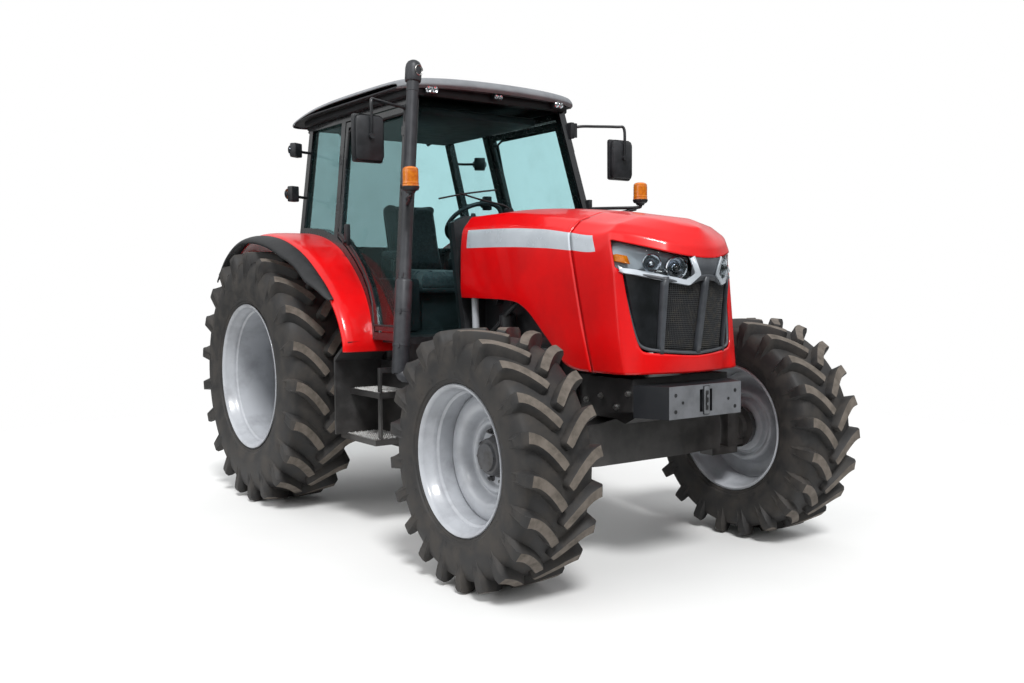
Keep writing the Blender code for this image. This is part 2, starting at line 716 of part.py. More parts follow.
def nose_row(points, top):
    return points + [top] + [(-x, y, z) for x, y, z in reversed(points)]


def hood_rows():
    rows = [hood_row(*station) for station in hood_stations]
    rows += [nose_row(list(points), top) for points, top in zip(nose_rows, nose_tops)]
    return rows


grille_half_outline = [(0.235, 1.160), (0.352, 1.215), (0.372, 1.570), (0.125, 1.495)]
lamp_outline = [(0.135, 1.515), (0.372, 1.592), (0.370, 1.690), (0.140, 1.600)]


# y of the grille's and lamps' outer faces, at a half width and height
def nose_face_y(x, z):
    rise = (z - 1.06) / 0.54
    sweep = (1.28 + (3.0 - 1.28) * rise) * abs(x) ** 2.5
    return -2.062 - 0.088 * min(rise, 1.0) + sweep


def facing(depth):
    def warp(x, y, z):
        return (x, nose_face_y(x, z) + (depth if y > 0.5 else 0.0), z)
    return warp


def build_hood():
    shape = bmesh.new()
    rings = [[shape.verts.new(point) for point in row] for row in hood_rows()]
    for ring, after in zip(rings, rings[1:]):
        for index in range(len(ring) - 1):
            shape.faces.new((ring[index], after[index], after[index + 1], ring[index + 1]))
    shape.faces.new(rings[-1])
    hood = part_from_bmesh("hood", "red_paint", shape)
    centre = Vector((0, -1.3, 1.4))
    outward = sum((face.center - centre).dot(face.normal) > 0 for face in hood.data.polygons)
    if outward * 2 < len(hood.data.polygons):
        hood.data.flip_normals()
    skin = hood.modifiers.new("skin", "SOLIDIFY")
    skin.thickness = hood_skin
    skin.offset = -1.0
    bar = rod("hinge_bar", "red_paint", (-0.24, *hood_hinge[1:]), (0.24, *hood_hinge[1:]),
              hood_hinge_radius, 12)
    join(hood, bar)
    for side in (-1, 1):
        y, z = hood_hinge[1:]
        arm = prism("hinge_arm", "red_paint", "X", side * 0.200, side * 0.220,
                    [[(y, z - 0.010), (y, z + 0.010), (y - 0.060, z + 0.055),
                      (y - 0.110, z + 0.055), (y - 0.110, z + 0.035)]])
        join(hood, arm)
    arch = [(-0.40, 0.90), (-0.40, 1.425), (-0.56, 1.425), (-0.86, 1.400), (-1.03, 1.350),
            (-1.17, 1.280), (-1.28, 1.180), (-1.375, 1.050), (-1.40, 0.90)]
    cut(hood, prism("arch", "red_paint", "X", -0.6, 0.6, [arch]))
    opening = [(-x, z) for x, z in grille_half_outline]
    grille_loop = grille_half_outline + opening[::-1]
    cut(hood, prism("grille_hole", "red_paint", "Y", -2.40, -1.78,
                    [inset(grille_loop, -seat_gap)]))
    grille = prism("grille", "black_plastic", "Y", 0.0, 1.0, [grille_loop], facing(0.070))
    lamps = []
    for label, side in sides:
        loop = [(side * x, z) for x, z in lamp_outline]
        cut(hood, prism("lamp_hole", "red_paint", "Y", -2.40, -1.78, [inset(loop, -seat_gap)]))
        lamps.append(prism(f"headlamp_{label}", "lamp", "Y", 0.0, 1.0, [loop], facing(0.120)))
    return [hood, grille] + lamps


# ---- exhaust, mirrors, beacons -----------------------------------------------------------
def build_outside_fittings():
    low, high = Vector((-0.920, -0.600, 1.000)), Vector((-0.680, -0.380, 2.770))
    up = (high - low).normalized()
    exhaust = rod("exhaust", "black_paint", low, high, 0.035, 12)
    sleeve = rod("sleeve", "black_paint", low - up * 0.06, low + up * 0.55, 0.048, 12)
    rain_cap = rod("rain_cap", "black_paint", high - up * 0.03, high + up * 0.10, 0.050, 12)
    down_pipe = rod("down_pipe", "black_paint", (-0.2800, -0.700, 1.090),
                    (-0.915, -0.600, 1.010), 0.038, 12)
    clamp_z = 2.100
    clamp = box("clamp", "black_paint", (-0.760, -0.470, clamp_z),
                (-0.680, pillar_front_y(clamp_z) - seat_gap, clamp_z + 0.030))
    join(exhaust, sleeve, rain_cap, down_pipe, clamp)
    for label, side in sides:
        pillar = (side * (side_x(2.58) + 0.0050), pillar_front_y(2.58) + 0.02, 2.58)
        head = Vector((side * 0.985, -0.364, 2.375))
        stem = tube(f"mirror_{label}", "black_plastic",
                    [pillar, (side * 0.80, -0.315, 2.600), (side * 0.985, -0.355, 2.600),
                     (side * 0.985, -0.364, 2.45)], 0.011)
        join(stem, box("head", "black_plastic", head - Vector((0.10, 0.030, 0.14)),
                       head + Vector((0.10, 0.030, 0.14))))
        elbow = (side * 0.900, -0.470, 1.945)
        pillar_low = (side * (side_x(1.96) + 0.0070), pillar_front_y(1.96) + 0.025, 1.960)
        stalk = tube(f"beacon_{label}", "amber",
                     [pillar_low, elbow, (side * 0.884, -0.687, 1.925),
                      (side * 0.884, -0.687, 2.08)], 0.010)
        join(stalk, rod("dome", "amber", (side * 0.884, -0.687, 2.07),
                        (side * 0.884, -0.687, 2.19), 0.050, 16))


# ---- rear linkage and drawbar ------------------------------------------------------------
lift_pivot = (1.455, 1.095)
lift_shaft_radius = 0.032
lower_pin = (0.3253, 1.425, 0.520)
lower_ball = (0.420, 2.170, 0.470)
arm_tip = (0.265, 1.760, 1.190)
rod_foot = (0.262, 1.830, 0.560)


def build_linkage():
    shaft = rod("lift_arms", "black_paint", (-0.290, *lift_pivot), (0.290, *lift_pivot),
                lift_shaft_radius, 16)
    for side in (-1, 1):
        join(shaft, prism("arm", "black_paint", "X", side * 0.240, side * 0.2900,
                          [[(1.455, 1.069), (1.79, 1.160), (1.79, 1.215), (1.74, 1.225),
                            (1.455, 1.121)]]))
    for label, side in sides:
        start = Vector((side * lower_pin[0], *lower_pin[1:]))
        end = Vector((side * lower_ball[0], *lower_ball[1:]))
        link = rod(f"lower_link_{label}", "steel", start, end, 0.030, 8)
        eye = rod("eye", "steel", start - Vector((0.022, 0, 0)), start + Vector((0.022, 0, 0)),
                  0.044, 16)
        ball = rod("ball", "steel", end - Vector((0.028, 0, 0)), end + Vector((0.028, 0, 0)),
                   0.046, 16)
        pin = rod("pin", "steel", (side * 0.2853, *lower_pin[1:]), start, 0.014, 12)
        join(link, eye, ball, pin)
        tip = Vector((side * (arm_tip[0] + 0.0385), *arm_tip[1:]))
        foot = Vector((side * (rod_foot[0] + 0.0385), *rod_foot[1:]))
        lift = rod(f"lift_rod_{label}", "steel", tip, foot, 0.012, 8)
        top_eye = rod("top_eye", "steel", tip - Vector((0.0132, 0, 0)),
                      tip + Vector((0.0132, 0, 0)), 0.028, 12)
        foot_eye = rod("foot_eye", "steel", foot - Vector((0.0132, 0, 0)),
                       foot + Vector((0.0132, 0, 0)), 0.028, 12)
        join(lift, top_eye, foot_eye)
    drawbar = box("drawbar", "steel", (-0.040, 0.95, 0.450), (0.040, 1.700, 0.490))
    hanger = prism("hanger", "steel", "Y", 1.10, 1.18,
                   [[(-0.12, 0.440), (0.12, 0.440), (0.12, 0.5797), (-0.12, 0.5797)]])
    join(drawbar, hanger)
    cut(drawbar, rod("pin_hole", "steel", (0, 1.655, 0.40), (0, 1.655, 0.55), 0.016, 12))


build_wheels()
build_driveline()
build_front_end()
build_side_gear()
build_cab()
build_fenders()
build_hood()
build_outside_fittings()
build_linkage()

# each moving piece that isn't a wheel is placed from a point on its own hinge or pin
pivots = {"hood": hood_hinge, "grille": hood_hinge, "steering_wheel": (0.0, 0.0, 1.930),
          "lift_arms": (0.0, *lift_pivot)}
for label, side in sides:
    pivots[f"headlamp_{label}"] = hood_hinge
    pivots[f"door_{label}"] = hinge_point(side, sill_z)
    pivots[f"door_glass_{label}"] = hinge_point(side, sill_z)
    pivots[f"lower_link_{label}"] = (side * lower_pin[0], *lower_pin[1:])
    pivots[f"lift_rod_{label}"] = (side * (arm_tip[0] + 0.0385), *arm_tip[1:])
for name, point in pivots.items():
    set_origin(bpy.data.objects[name], point)
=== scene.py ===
import math
import bmesh
import bpy
from mathutils import Matrix, Vector


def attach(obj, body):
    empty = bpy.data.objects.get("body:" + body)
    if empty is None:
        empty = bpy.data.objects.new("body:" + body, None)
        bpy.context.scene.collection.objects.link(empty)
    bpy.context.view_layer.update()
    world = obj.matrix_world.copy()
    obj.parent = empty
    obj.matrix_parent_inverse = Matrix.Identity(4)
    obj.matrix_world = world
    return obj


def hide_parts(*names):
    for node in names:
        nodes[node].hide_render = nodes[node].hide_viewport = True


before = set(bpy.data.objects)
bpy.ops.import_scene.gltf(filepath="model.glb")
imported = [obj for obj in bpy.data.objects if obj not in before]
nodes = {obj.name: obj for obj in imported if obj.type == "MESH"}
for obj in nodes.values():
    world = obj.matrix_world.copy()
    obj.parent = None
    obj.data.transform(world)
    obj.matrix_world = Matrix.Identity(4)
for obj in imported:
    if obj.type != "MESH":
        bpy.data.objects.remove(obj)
scene = bpy.context.scene
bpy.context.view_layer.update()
print("frame loaded")


def linear(hexText):
    parts = [int(hexText[i:i + 2], 16) / 255 for i in (1, 3, 5)]
    return [c / 12.92 if c < 0.04045 else ((c + 0.055) / 1.055) ** 2.4 for c in parts] + [1.0]


# settings name an attribute or an input, links give an input its source
def addNode(tree, kind, settings=None, links=None):
    node = tree.nodes.new("ShaderNode" + kind)
    for key, value in (settings or {}).items():
        if isinstance(key, str) and hasattr(node, key):
            setattr(node, key, value)
        else:
            node.inputs[key].default_value = value
    for key, source in (links or {}).items():
        tree.links.new(source, node.inputs[key])
    return node


# sizes are in mm; spotMm is the patch pattern, grainMm the surface grain
def surface(name, base, second, spotMm, spotLow, spotHigh, rough, roughSecond, grainMm, grainDepth,
            metallic=0.0, coat=0.0, dust=None, transmission=0.0, sheen=0.0, shine=0.5):
    made = bpy.data.materials.new(name)
    made.use_nodes = True
    tree = made.node_tree
    shader = tree.nodes["Principled BSDF"]
    place = addNode(tree, "TexCoord").outputs["Object"]
    spots = addNode(tree, "TexNoise", {"Scale": 1000 / spotMm, "Detail": 6.0, "Roughness": 0.62},
                    {"Vector": place})
    mask = addNode(tree, "MapRange", {"From Min": spotLow, "From Max": spotHigh},
                   {"Value": spots.outputs["Fac"]}).outputs["Result"]
    colour = addNode(tree, "Mix", {"data_type": "RGBA", 6: linear(base), 7: linear(second)},
                     {0: mask}).outputs[2]
    if dust:
        height = addNode(tree, "SeparateXYZ", links={"Vector": place}).outputs["Z"]
        low = addNode(tree, "MapRange", {"From Min": dust["top"], "From Max": dust["bottom"],
                                         "To Max": dust["most"]}, {"Value": height}).outputs["Result"]
        patchy = addNode(tree, "Math", {"operation": "MULTIPLY"}, {0: low, 1: spots.outputs["Fac"]})
        colour = addNode(tree, "Mix", {"data_type": "RGBA", 7: linear(dust["colour"])},
                         {0: patchy.outputs[0], 6: colour}).outputs[2]
    tree.links.new(colour, shader.inputs["Base Color"])
    roughMix = addNode(tree, "MapRange", {"To Min": rough, "To Max": roughSecond}, {"Value": mask})
    tree.links.new(roughMix.outputs["Result"], shader.inputs["Roughness"])
    grain = addNode(tree, "TexNoise", {"Scale": 1000 / grainMm, "Detail": 3.0}, {"Vector": place})
    bump = addNode(tree, "Bump", {"Strength": 0.6, "Distance": grainDepth / 1000},
                   {"Height": grain.outputs["Fac"]})
    tree.links.new(bump.outputs["Normal"], shader.inputs["Normal"])
    shader.inputs["Metallic"].default_value = metallic
    shader.inputs["Coat Weight"].default_value = coat
    shader.inputs["Coat Roughness"].default_value = 0.04
    shader.inputs["Transmission Weight"].default_value = transmission
    shader.inputs["Sheen Weight"].default_value = sheen
    shader.inputs["Specular IOR Level"].default_value = shine
    return made


# a pane shows what is behind it, tinted, under a sharp reflection
def pane(name, tint, smear, reflect):
    made = bpy.data.materials.new(name)
    made.use_nodes = True
    tree = made.node_tree
    shader = tree.nodes["Principled BSDF"]
    out = tree.nodes["Material Output"]
    place = addNode(tree, "TexCoord").outputs["Object"]
    film = addNode(tree, "TexNoise", {"Scale": 3.2, "Detail": 8.0, "Roughness": 0.7}, {"Vector": place})
    rough = addNode(tree, "MapRange", {"To Min": 0.02, "To Max": smear}, {"Value": film.outputs["Fac"]})
    tree.links.new(rough.outputs["Result"], shader.inputs["Roughness"])
    shader.inputs["Base Color"].default_value = linear("#20302E")
    shader.inputs["Coat Weight"].default_value = 1.0
    clear = addNode(tree, "BsdfTransparent", {"Color": linear(tint)})
    edge = addNode(tree, "LayerWeight", {"Blend": 0.12})
    streak = addNode(tree, "MapRange", {"From Min": 0.48, "From Max": 0.80, "To Min": reflect,
                                        "To Max": reflect + 0.05}, {"Value": film.outputs["Fac"]})
    both = addNode(tree, "Math", {"operation": "MULTIPLY_ADD", "use_clamp": True, 1: 0.6},
                   {0: edge.outputs["Fresnel"], 2: streak.outputs["Result"]})
    mixed = addNode(tree, "MixShader", links={0: both.outputs[0], 1: clear.outputs[0], 2: shader.outputs[0]})
    tree.links.new(mixed.outputs[0], out.inputs["Surface"])
    return made


chassisDust = {"top": 1.5, "bottom": 0.2, "most": 0.35, "colour": "#6E655A"}
# sprayed acrylic enamel with a clear gloss
redPaint = surface("redPaint", "#DE0208", "#C90106", 420, 0.42, 0.66, 0.30, 0.38, 3.0, 0.03, coat=0.42,
                   shine=0.25, dust={"top": 1.35, "bottom": 0.9, "most": 0.12, "colour": "#8A5A4A"})
# enamelled wheel steel with small chips and road film
wheelSilver = surface("wheelSilver", "#AAADB2", "#8E9095", 160, 0.45, 0.75, 0.30, 0.46, 5.0, 0.05, coat=0.3)
# satin chassis enamel
blackPaint = surface("blackPaint", "#14161A", "#25272B", 90, 0.45, 0.72, 0.34, 0.52, 2.5, 0.06,
                     coat=0.25, dust=chassisDust)
# gloss black powder coat of the cab posts
cabPaint = surface("cabPaint", "#0F1114", "#1B1D21", 130, 0.45, 0.70, 0.24, 0.36, 2.2, 0.03, coat=0.5)
# sand-cast iron under thin grey paint
greyCasting = surface("greyCasting", "#4C4E52", "#37383B", 60, 0.42, 0.66, 0.45, 0.62, 2.0, 0.25,
                      dust=chassisDust)
# bracket plate paint, mid grey
bracketPaint = surface("bracketPaint", "#6A6C70", "#57595C", 110, 0.44, 0.70, 0.42, 0.56, 2.0, 0.08, coat=0.1)
# moulded composite roof skin
roofSkin = surface("roofSkin", "#85888C", "#74777B", 140, 0.44, 0.70, 0.48, 0.60, 1.6, 0.05)
# natural rubber casing, dusty in patches
tyreCasing = surface("tyreCasing", "#201F1F", "#3A3632", 120, 0.42, 0.68, 0.62, 0.82, 3.5, 0.35)
# lug tops worn to a grey brown
tyreWorn = surface("tyreWorn", "#6A625A", "#4C463F", 55, 0.38, 0.70, 0.78, 0.90, 2.4, 0.40)
# extruded seal rubber
sealRubber = surface("sealRubber", "#121315", "#232427", 60, 0.45, 0.70, 0.55, 0.70, 1.8, 0.10)
# injection moulded plastic with a fine grain
blackPlastic = surface("blackPlastic", "#1C1E21", "#2B2D31", 70, 0.44, 0.70, 0.45, 0.60, 1.2, 0.08,
                       dust=chassisDust)
# turned and zinc plated steel
bareSteel = surface("bareSteel", "#A9A9A8", "#7F7C78", 35, 0.42, 0.68, 0.32, 0.55, 1.5, 0.06, metallic=1.0)
# vacuum metallised lamp reflector
chrome = surface("chrome", "#E2E5EA", "#C3C7CE", 50, 0.44, 0.70, 0.08, 0.16, 6.0, 0.02, metallic=1.0)
# brushed silver lamp frame and hood stripe film
silverTrim = surface("silverTrim", "#C4CBD2", "#B4BBC2", 160, 0.42, 0.72, 0.22, 0.30, 2.0, 0.02,
                     metallic=0.15, coat=0.4)
# dark grey satin plastic of the grille frame
darkTrim = surface("darkTrim", "#45484D", "#383B3F", 70, 0.44, 0.70, 0.38, 0.50, 1.4, 0.05)
# black gauze behind the grille
gauze = surface("gauze", "#3C3E41", "#5A564E", 40, 0.46, 0.72, 0.50, 0.70, 1.4, 0.10)
# heat darkened exhaust steel, matt black paint
exhaustPaint = surface("exhaustPaint", "#2B2D31", "#3B3C40", 80, 0.42, 0.70, 0.40, 0.58, 1.8, 0.10,
                       metallic=0.2)
# amber polycarbonate
amberLens = surface("amberLens", "#F08A0C", "#D56C04", 22, 0.40, 0.66, 0.10, 0.18, 9.0, 0.20, coat=0.6,
                    transmission=0.25)
# woven seat cloth
seatCloth = surface("seatCloth", "#3C4044", "#2A2D30", 18, 0.40, 0.64, 0.85, 0.95, 1.0, 0.35, sheen=0.4)
# red lamp lens
redLens = surface("redLens", "#A80B0B", "#7A0505", 20, 0.40, 0.66, 0.12, 0.22, 8.0, 0.20, coat=0.6)
# heat absorbing cab glass, green tint
cabGlass = pane("cabGlass", "#E8F6F7", 0.05, 0.012)
# clear polycarbonate lamp cover
clearLens = pane("clearLens", "#FAFCFD", 0.03, 0.01)
# smoked smooth panel of the grille flanks
smokePanel = surface("smokePanel", "#131517", "#24262A", 110, 0.40, 0.70, 0.14, 0.26, 5.0, 0.03, coat=0.5)

# every face not turned straight forward, the bracket's angled sides among them, takes a near black colour,
# only the flat front keeps the grey
tree = bracketPaint.node_tree
shader = tree.nodes["Principled BSDF"]
facing = addNode(tree, "SeparateXYZ", links={"Vector": addNode(tree, "TexCoord").outputs["Normal"]})
flat = addNode(tree, "Math", {"operation": "LESS_THAN", 1: -0.97}, {0: facing.outputs["Y"]})
wasColour = shader.inputs["Base Color"].links[0].from_socket
split = addNode(tree, "Mix", {"data_type": "RGBA", 6: linear("#191B1F")}, {0: flat.outputs[0], 7: wasColour})
tree.links.new(split.outputs[2], shader.inputs["Base Color"])

finishes = {"red_paint": redPaint, "wheel_silver": wheelSilver, "black_paint": blackPaint,
            "grey_casting": bracketPaint, "grey_roof": roofSkin, "tyre_rubber": tyreCasing,
            "black_rubber": sealRubber, "black_plastic": blackPlastic, "tinted_glass": cabGlass,
            "lamp_lens": clearLens, "amber_lens": amberLens, "bare_steel": bareSteel, "seat_cloth": seatCloth}
for name, node in nodes.items():
    for used in node.material_slots:
        used.material = finishes[used.material.name.split(".")[0]]
    if name.startswith(("cab_side", "door_left", "door_right", "rear_wall")):
        node.material_slots[0].material = cabPaint
    node.data.shade_smooth()
    node.data.set_sharp_from_angle(angle=math.radians(28))
print("materials done")


def addPiece(name, bm, mats, body, replaced=(), sharp=35, solid=0.0, levels=0):
    bmesh.ops.remove_doubles(bm, verts=bm.verts, dist=2e-5)
    bmesh.ops.recalc_face_normals(bm, faces=bm.faces)
    mesh = bpy.data.meshes.new(name)
    bm.to_mesh(mesh)
    bm.free()
    made = bpy.data.objects.new(name, mesh)
    scene.collection.objects.link(made)
    for mat in mats:
        mesh.materials.append(mat)
    mesh.shade_smooth()
    if levels:
        smoother = made.modifiers.new("smoother", "SUBSURF")
        smoother.levels = smoother.render_levels = levels
        smoother.boundary_smooth = "PRESERVE_CORNERS"
    else:
        mesh.set_sharp_from_angle(angle=math.radians(sharp))
    if solid:
        thick = made.modifiers.new("thick", "SOLIDIFY")
        thick.thickness, thick.offset = solid, 0.0
    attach(made, body)
    if replaced:
        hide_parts(*replaced)
    return made


# a smooth line through the points, steps to each span
def smoothLine(points, steps):
    ends = [points[0]] + list(points) + [points[-1]]
    line = []
    for i in range(len(points) - 1):
        a, b, c, d = (Vector(p) for p in ends[i:i + 4])
        for k in range(steps):
            t = k / steps
            line.append(0.5 * (2 * b + (c - a) * t + (2 * a - 5 * b + 4 * c - d) * t * t
                               + (3 * b - a - 3 * c + d) * t ** 3))
    return line + [Vector(points[-1])]


# turns (along, radius) points once round an axis, along being measured from the centre
def addTurned(bm, points, centre, axis=(1, 0, 0), steps=96, mat=0):
    turn = Vector((1, 0, 0)).rotation_difference(Vector(axis).normalized()).to_matrix()
    line = [bm.verts.new(Vector(centre) + turn @ Vector((a, 0, r))) for a, r in points]
    edges = [bm.edges.new(pair) for pair in zip(line, line[1:])]
    before = set(bm.faces)
    bmesh.ops.spin(bm, geom=line + edges, cent=centre, axis=Vector(axis).normalized(),
                   angle=math.tau, steps=steps, use_merge=True)
    for face in set(bm.faces) - before:
        face.material_index = mat


def addBox(bm, low, high, soften=0.0, mat=0, turn=None):
    size = Vector(high) - Vector(low)
    middle = (Vector(high) + Vector(low)) / 2
    before = set(bm.faces)
    place = Matrix.Translation(middle) @ (turn or Matrix.Identity(4)) @ Matrix.Diagonal((*size, 1))
    made = bmesh.ops.create_cube(bm, size=1, matrix=place)
    if soften:
        bmesh.ops.bevel(bm, geom=list({e for v in made["verts"] for e in v.link_edges}), offset=soften,
                        affect="EDGES", segments=2, profile=0.5, material=-1)
    for face in set(bm.faces) - before:
        face.material_index = mat


def addRod(bm, start, end, radius, steps=20, mat=0, endRadius=None):
    along = Vector(end) - Vector(start)
    turn = along.to_track_quat("Z", "Y").to_matrix().to_4x4()
    before = set(bm.faces)
    bmesh.ops.create_cone(bm, cap_ends=True, segments=steps, radius1=radius,
                          radius2=radius if endRadius is None else endRadius, depth=along.length,
                          matrix=Matrix.Translation((Vector(start) + Vector(end)) / 2) @ turn)
    for face in set(bm.faces) - before:
        face.material_index = mat


# a round bar bent along points, for pipes, seals and wires
def addPipe(name, paths, radius, mat, body, replaced=(), steps=4, cyclic=False, sides=10):
    curve = bpy.data.curves.new(name, "CURVE")
    curve.dimensions = "3D"
    curve.bevel_depth = radius
    curve.bevel_resolution = sides // 4
    curve.use_fill_caps = True
    for path in paths:
        line = smoothLine(path, steps) if steps > 1 else [Vector(p) for p in path]
        spline = curve.splines.new("POLY")
        spline.points.add(len(line) - 1)
        for point, place in zip(spline.points, line):
            point.co = (*place, 1)
        spline.use_cyclic_u = cyclic
    holder = bpy.data.objects.new(name + "Line", curve)
    scene.collection.objects.link(holder)
    mesh = bpy.data.meshes.new_from_object(holder.evaluated_get(bpy.context.evaluated_depsgraph_get()))
    bpy.data.objects.remove(holder)
    bm = bmesh.new()
    bm.from_mesh(mesh)
    bpy.data.meshes.remove(mesh)
    return addPiece(name, bm, [mat], body, replaced, sharp=50)


# a grid of points[column][row] as one sheet
def addSheet(bm, points, mat=0, skip=(), mats=None):
    wide, tall = len(points) - 1, len(points[0]) - 1
    made = bmesh.ops.create_grid(bm, x_segments=wide, y_segments=tall, size=1,
                                 matrix=Matrix.Diagonal((wide / 2, tall / 2, 1, 1)))
    spots = {}
    for vert in made["verts"]:
        key = (round(vert.co.x + wide / 2), round(vert.co.y + tall / 2))
        spots[vert] = key
    faces = {f for v in made["verts"] for f in v.link_faces}
    gone = []
    for face in faces:
        cell = (min(spots[v][0] for v in face.verts), min(spots[v][1] for v in face.verts))
        face.material_index = (mats or {}).get(cell, mat)
        if cell in skip:
            gone.append(face)
    for vert, (i, j) in spots.items():
        vert.co = points[i][j]
    bmesh.ops.delete(bm, geom=gone, context="FACES")


# the same box on the right or the left side
def addSideBox(bm, side, low, high, soften):
    xs = sorted((side * low[0], side * high[0]))
    addBox(bm, (xs[0], *low[1:]), (xs[1], *high[1:]), soften)


def toSide(bm, side):
    for vert in bm.verts:
        vert.co.x *= side


# smooths a list of (along, radius) points for addTurned
def smoothProfile(points):
    return [(p.x, p.y) for p in smoothLine([(*q, 0) for q in points], 3)]


hands = (("right", -1), ("left", 1))

# wheels: lug bars on a turned casing, and a stepped rim with a dished disc
wheels = {
    "front": {"centre": (0.965, -1.575, 0.650), "radius": 0.650, "half": 0.220, "flange": 0.381,
              "lug": 0.040, "count": 21, "sweep": 0.170, "top": 0.027, "foot": 0.040, "rim": 0.185,
              "disc": [(0.004, 0.324), (0.016, 0.306), (0.021, 0.285), (0.021, 0.262), (0.012, 0.238),
                       (-0.018, 0.222), (-0.043, 0.213), (-0.052, 0.203), (-0.048, 0.192),
                       (-0.034, 0.182), (-0.030, 0.170), (-0.040, 0.160), (-0.056, 0.154),
                       (-0.062, 0.146), (-0.062, 0.095)],
              "hub": [(-0.064, 0.112), (-0.050, 0.108), (-0.040, 0.098), (-0.004, 0.094),
                      (0.006, 0.086), (0.008, 0.074), (0.022, 0.070), (0.026, 0.060), (0.027, 0.0)],
              "nuts": (8, 0.130, -0.062)},
    "rear": {"centre": (0.960, 1.125, 0.878), "radius": 0.878, "half": 0.250, "flange": 0.508,
             "lug": 0.046, "count": 21, "sweep": 0.215, "top": 0.031, "foot": 0.047, "rim": 0.215,
             "disc": [(-0.186, 0.452), (-0.174, 0.430), (-0.168, 0.405), (-0.168, 0.360), (-0.176, 0.330),
                      (-0.196, 0.300), (-0.214, 0.280), (-0.216, 0.262), (-0.200, 0.245),
                      (-0.194, 0.225), (-0.200, 0.205), (-0.206, 0.190), (-0.206, 0.095)],
             "hub": [(-0.208, 0.125), (-0.190, 0.120), (-0.180, 0.104), (-0.150, 0.098),
                     (-0.138, 0.088), (-0.136, 0.0)],
             "nuts": (10, 0.155, -0.206)},
}
# share of the half width, share of the way from the flange to the casing's crown
casing = [(0.80, -0.055), (0.835, 0.02), (0.865, 0.05), (0.875, 0.09), (0.915, 0.115), (0.925, 0.17),
          (0.955, 0.30), (0.965, 0.45), (0.955, 0.60), (0.925, 0.735), (0.875, 0.84), (0.80, 0.905),
          (0.62, 0.955), (0.32, 0.985), (0.0, 1.0)]

# distances in from the rim's edge and from the flange's radius, the outer half and then the inner one
barrelOuter = [(0.004, 0.002), (-0.001, 0.006), (0.004, 0.017), (0.016, 0.023), (0.050, 0.027),
               (0.060, 0.036), (0.088, 0.039), (0.098, 0.050), (0.125, 0.053)]
barrelInner = [(0.125, 0.053), (0.090, 0.036), (0.040, 0.026), (0.012, 0.022), (0.002, 0.012), (0.004, 0.002)]


def addLug(bm, wheel, centre, side, angle):
    radius, half, crown = wheel["radius"], wheel["half"], wheel["radius"] - wheel["lug"]
    # share of half width, foot radius, top radius, width share, outward shift of the top
    rows = [(0.020, -0.004, -0.004, 0.70, 0), (0.035, -0.004, 0.72, 0.66, 0), (0.055, -0.004, 0.97, 0.88, 0),
            (0.10, -0.004, 1.0, 1.0, 0), (0.20, -0.004, 1.0, 1.0, 0), (0.32, -0.006, 0.995, 1.0, 0),
            (0.44, -0.008, 0.985, 1.0, 0), (0.56, -0.012, 0.97, 1.02, 0), (0.68, -0.018, 0.95, 1.05, 0),
            (0.79, -0.030, 0.92, 1.10, 0.02), (0.865, -0.055, 0.86, 1.15, 0.055),
            (0.905, -0.085, 0.40, 1.10, 0.085), (0.925, -0.125, -0.30, 0.95, 0.075),
            (0.945, -0.165, -1.35, 0.75, 0.045), (0.940, -0.190, -2.4, 0.55, 0.0)]
    lines = []
    for share, foot, top, wide, shift in rows:
        t = min(share / 0.9, 1)
        path = angle - wheel["sweep"] / radius * (1 - t) ** 1.55
        slope = wheel["sweep"] / half * 1.55 * (1 - t) ** 0.55
        lean = math.hypot(1, slope)
        footR, topR = crown + foot * radius / 0.65, crown + top * wheel["lug"]
        if top < -0.2:
            footR = min(footR, topR - 0.004)
        row = []
        for across, level in ((-1, 0), (-1, 1), (-0.86, 2), (0.86, 2), (1, 1), (1, 0)):
            width = (wheel["foot"] if level == 0 else wheel["top"]) * wide * across
            r = footR if level == 0 else topR - (0.006 if level == 1 else 0)
            out = half * (share + (shift if level else 0)) - width * slope / lean * 0.9
            out = min(max(out, half * -0.05), half * 0.998)
            a = path + width / lean / radius
            row.append(Vector(centre) + Vector((side * out, -math.cos(a) * r, math.sin(a) * r)))
        lines.append(row)
    addSheet(bm, lines, mats={(i, 2): 1 for i in range(2, 10)})


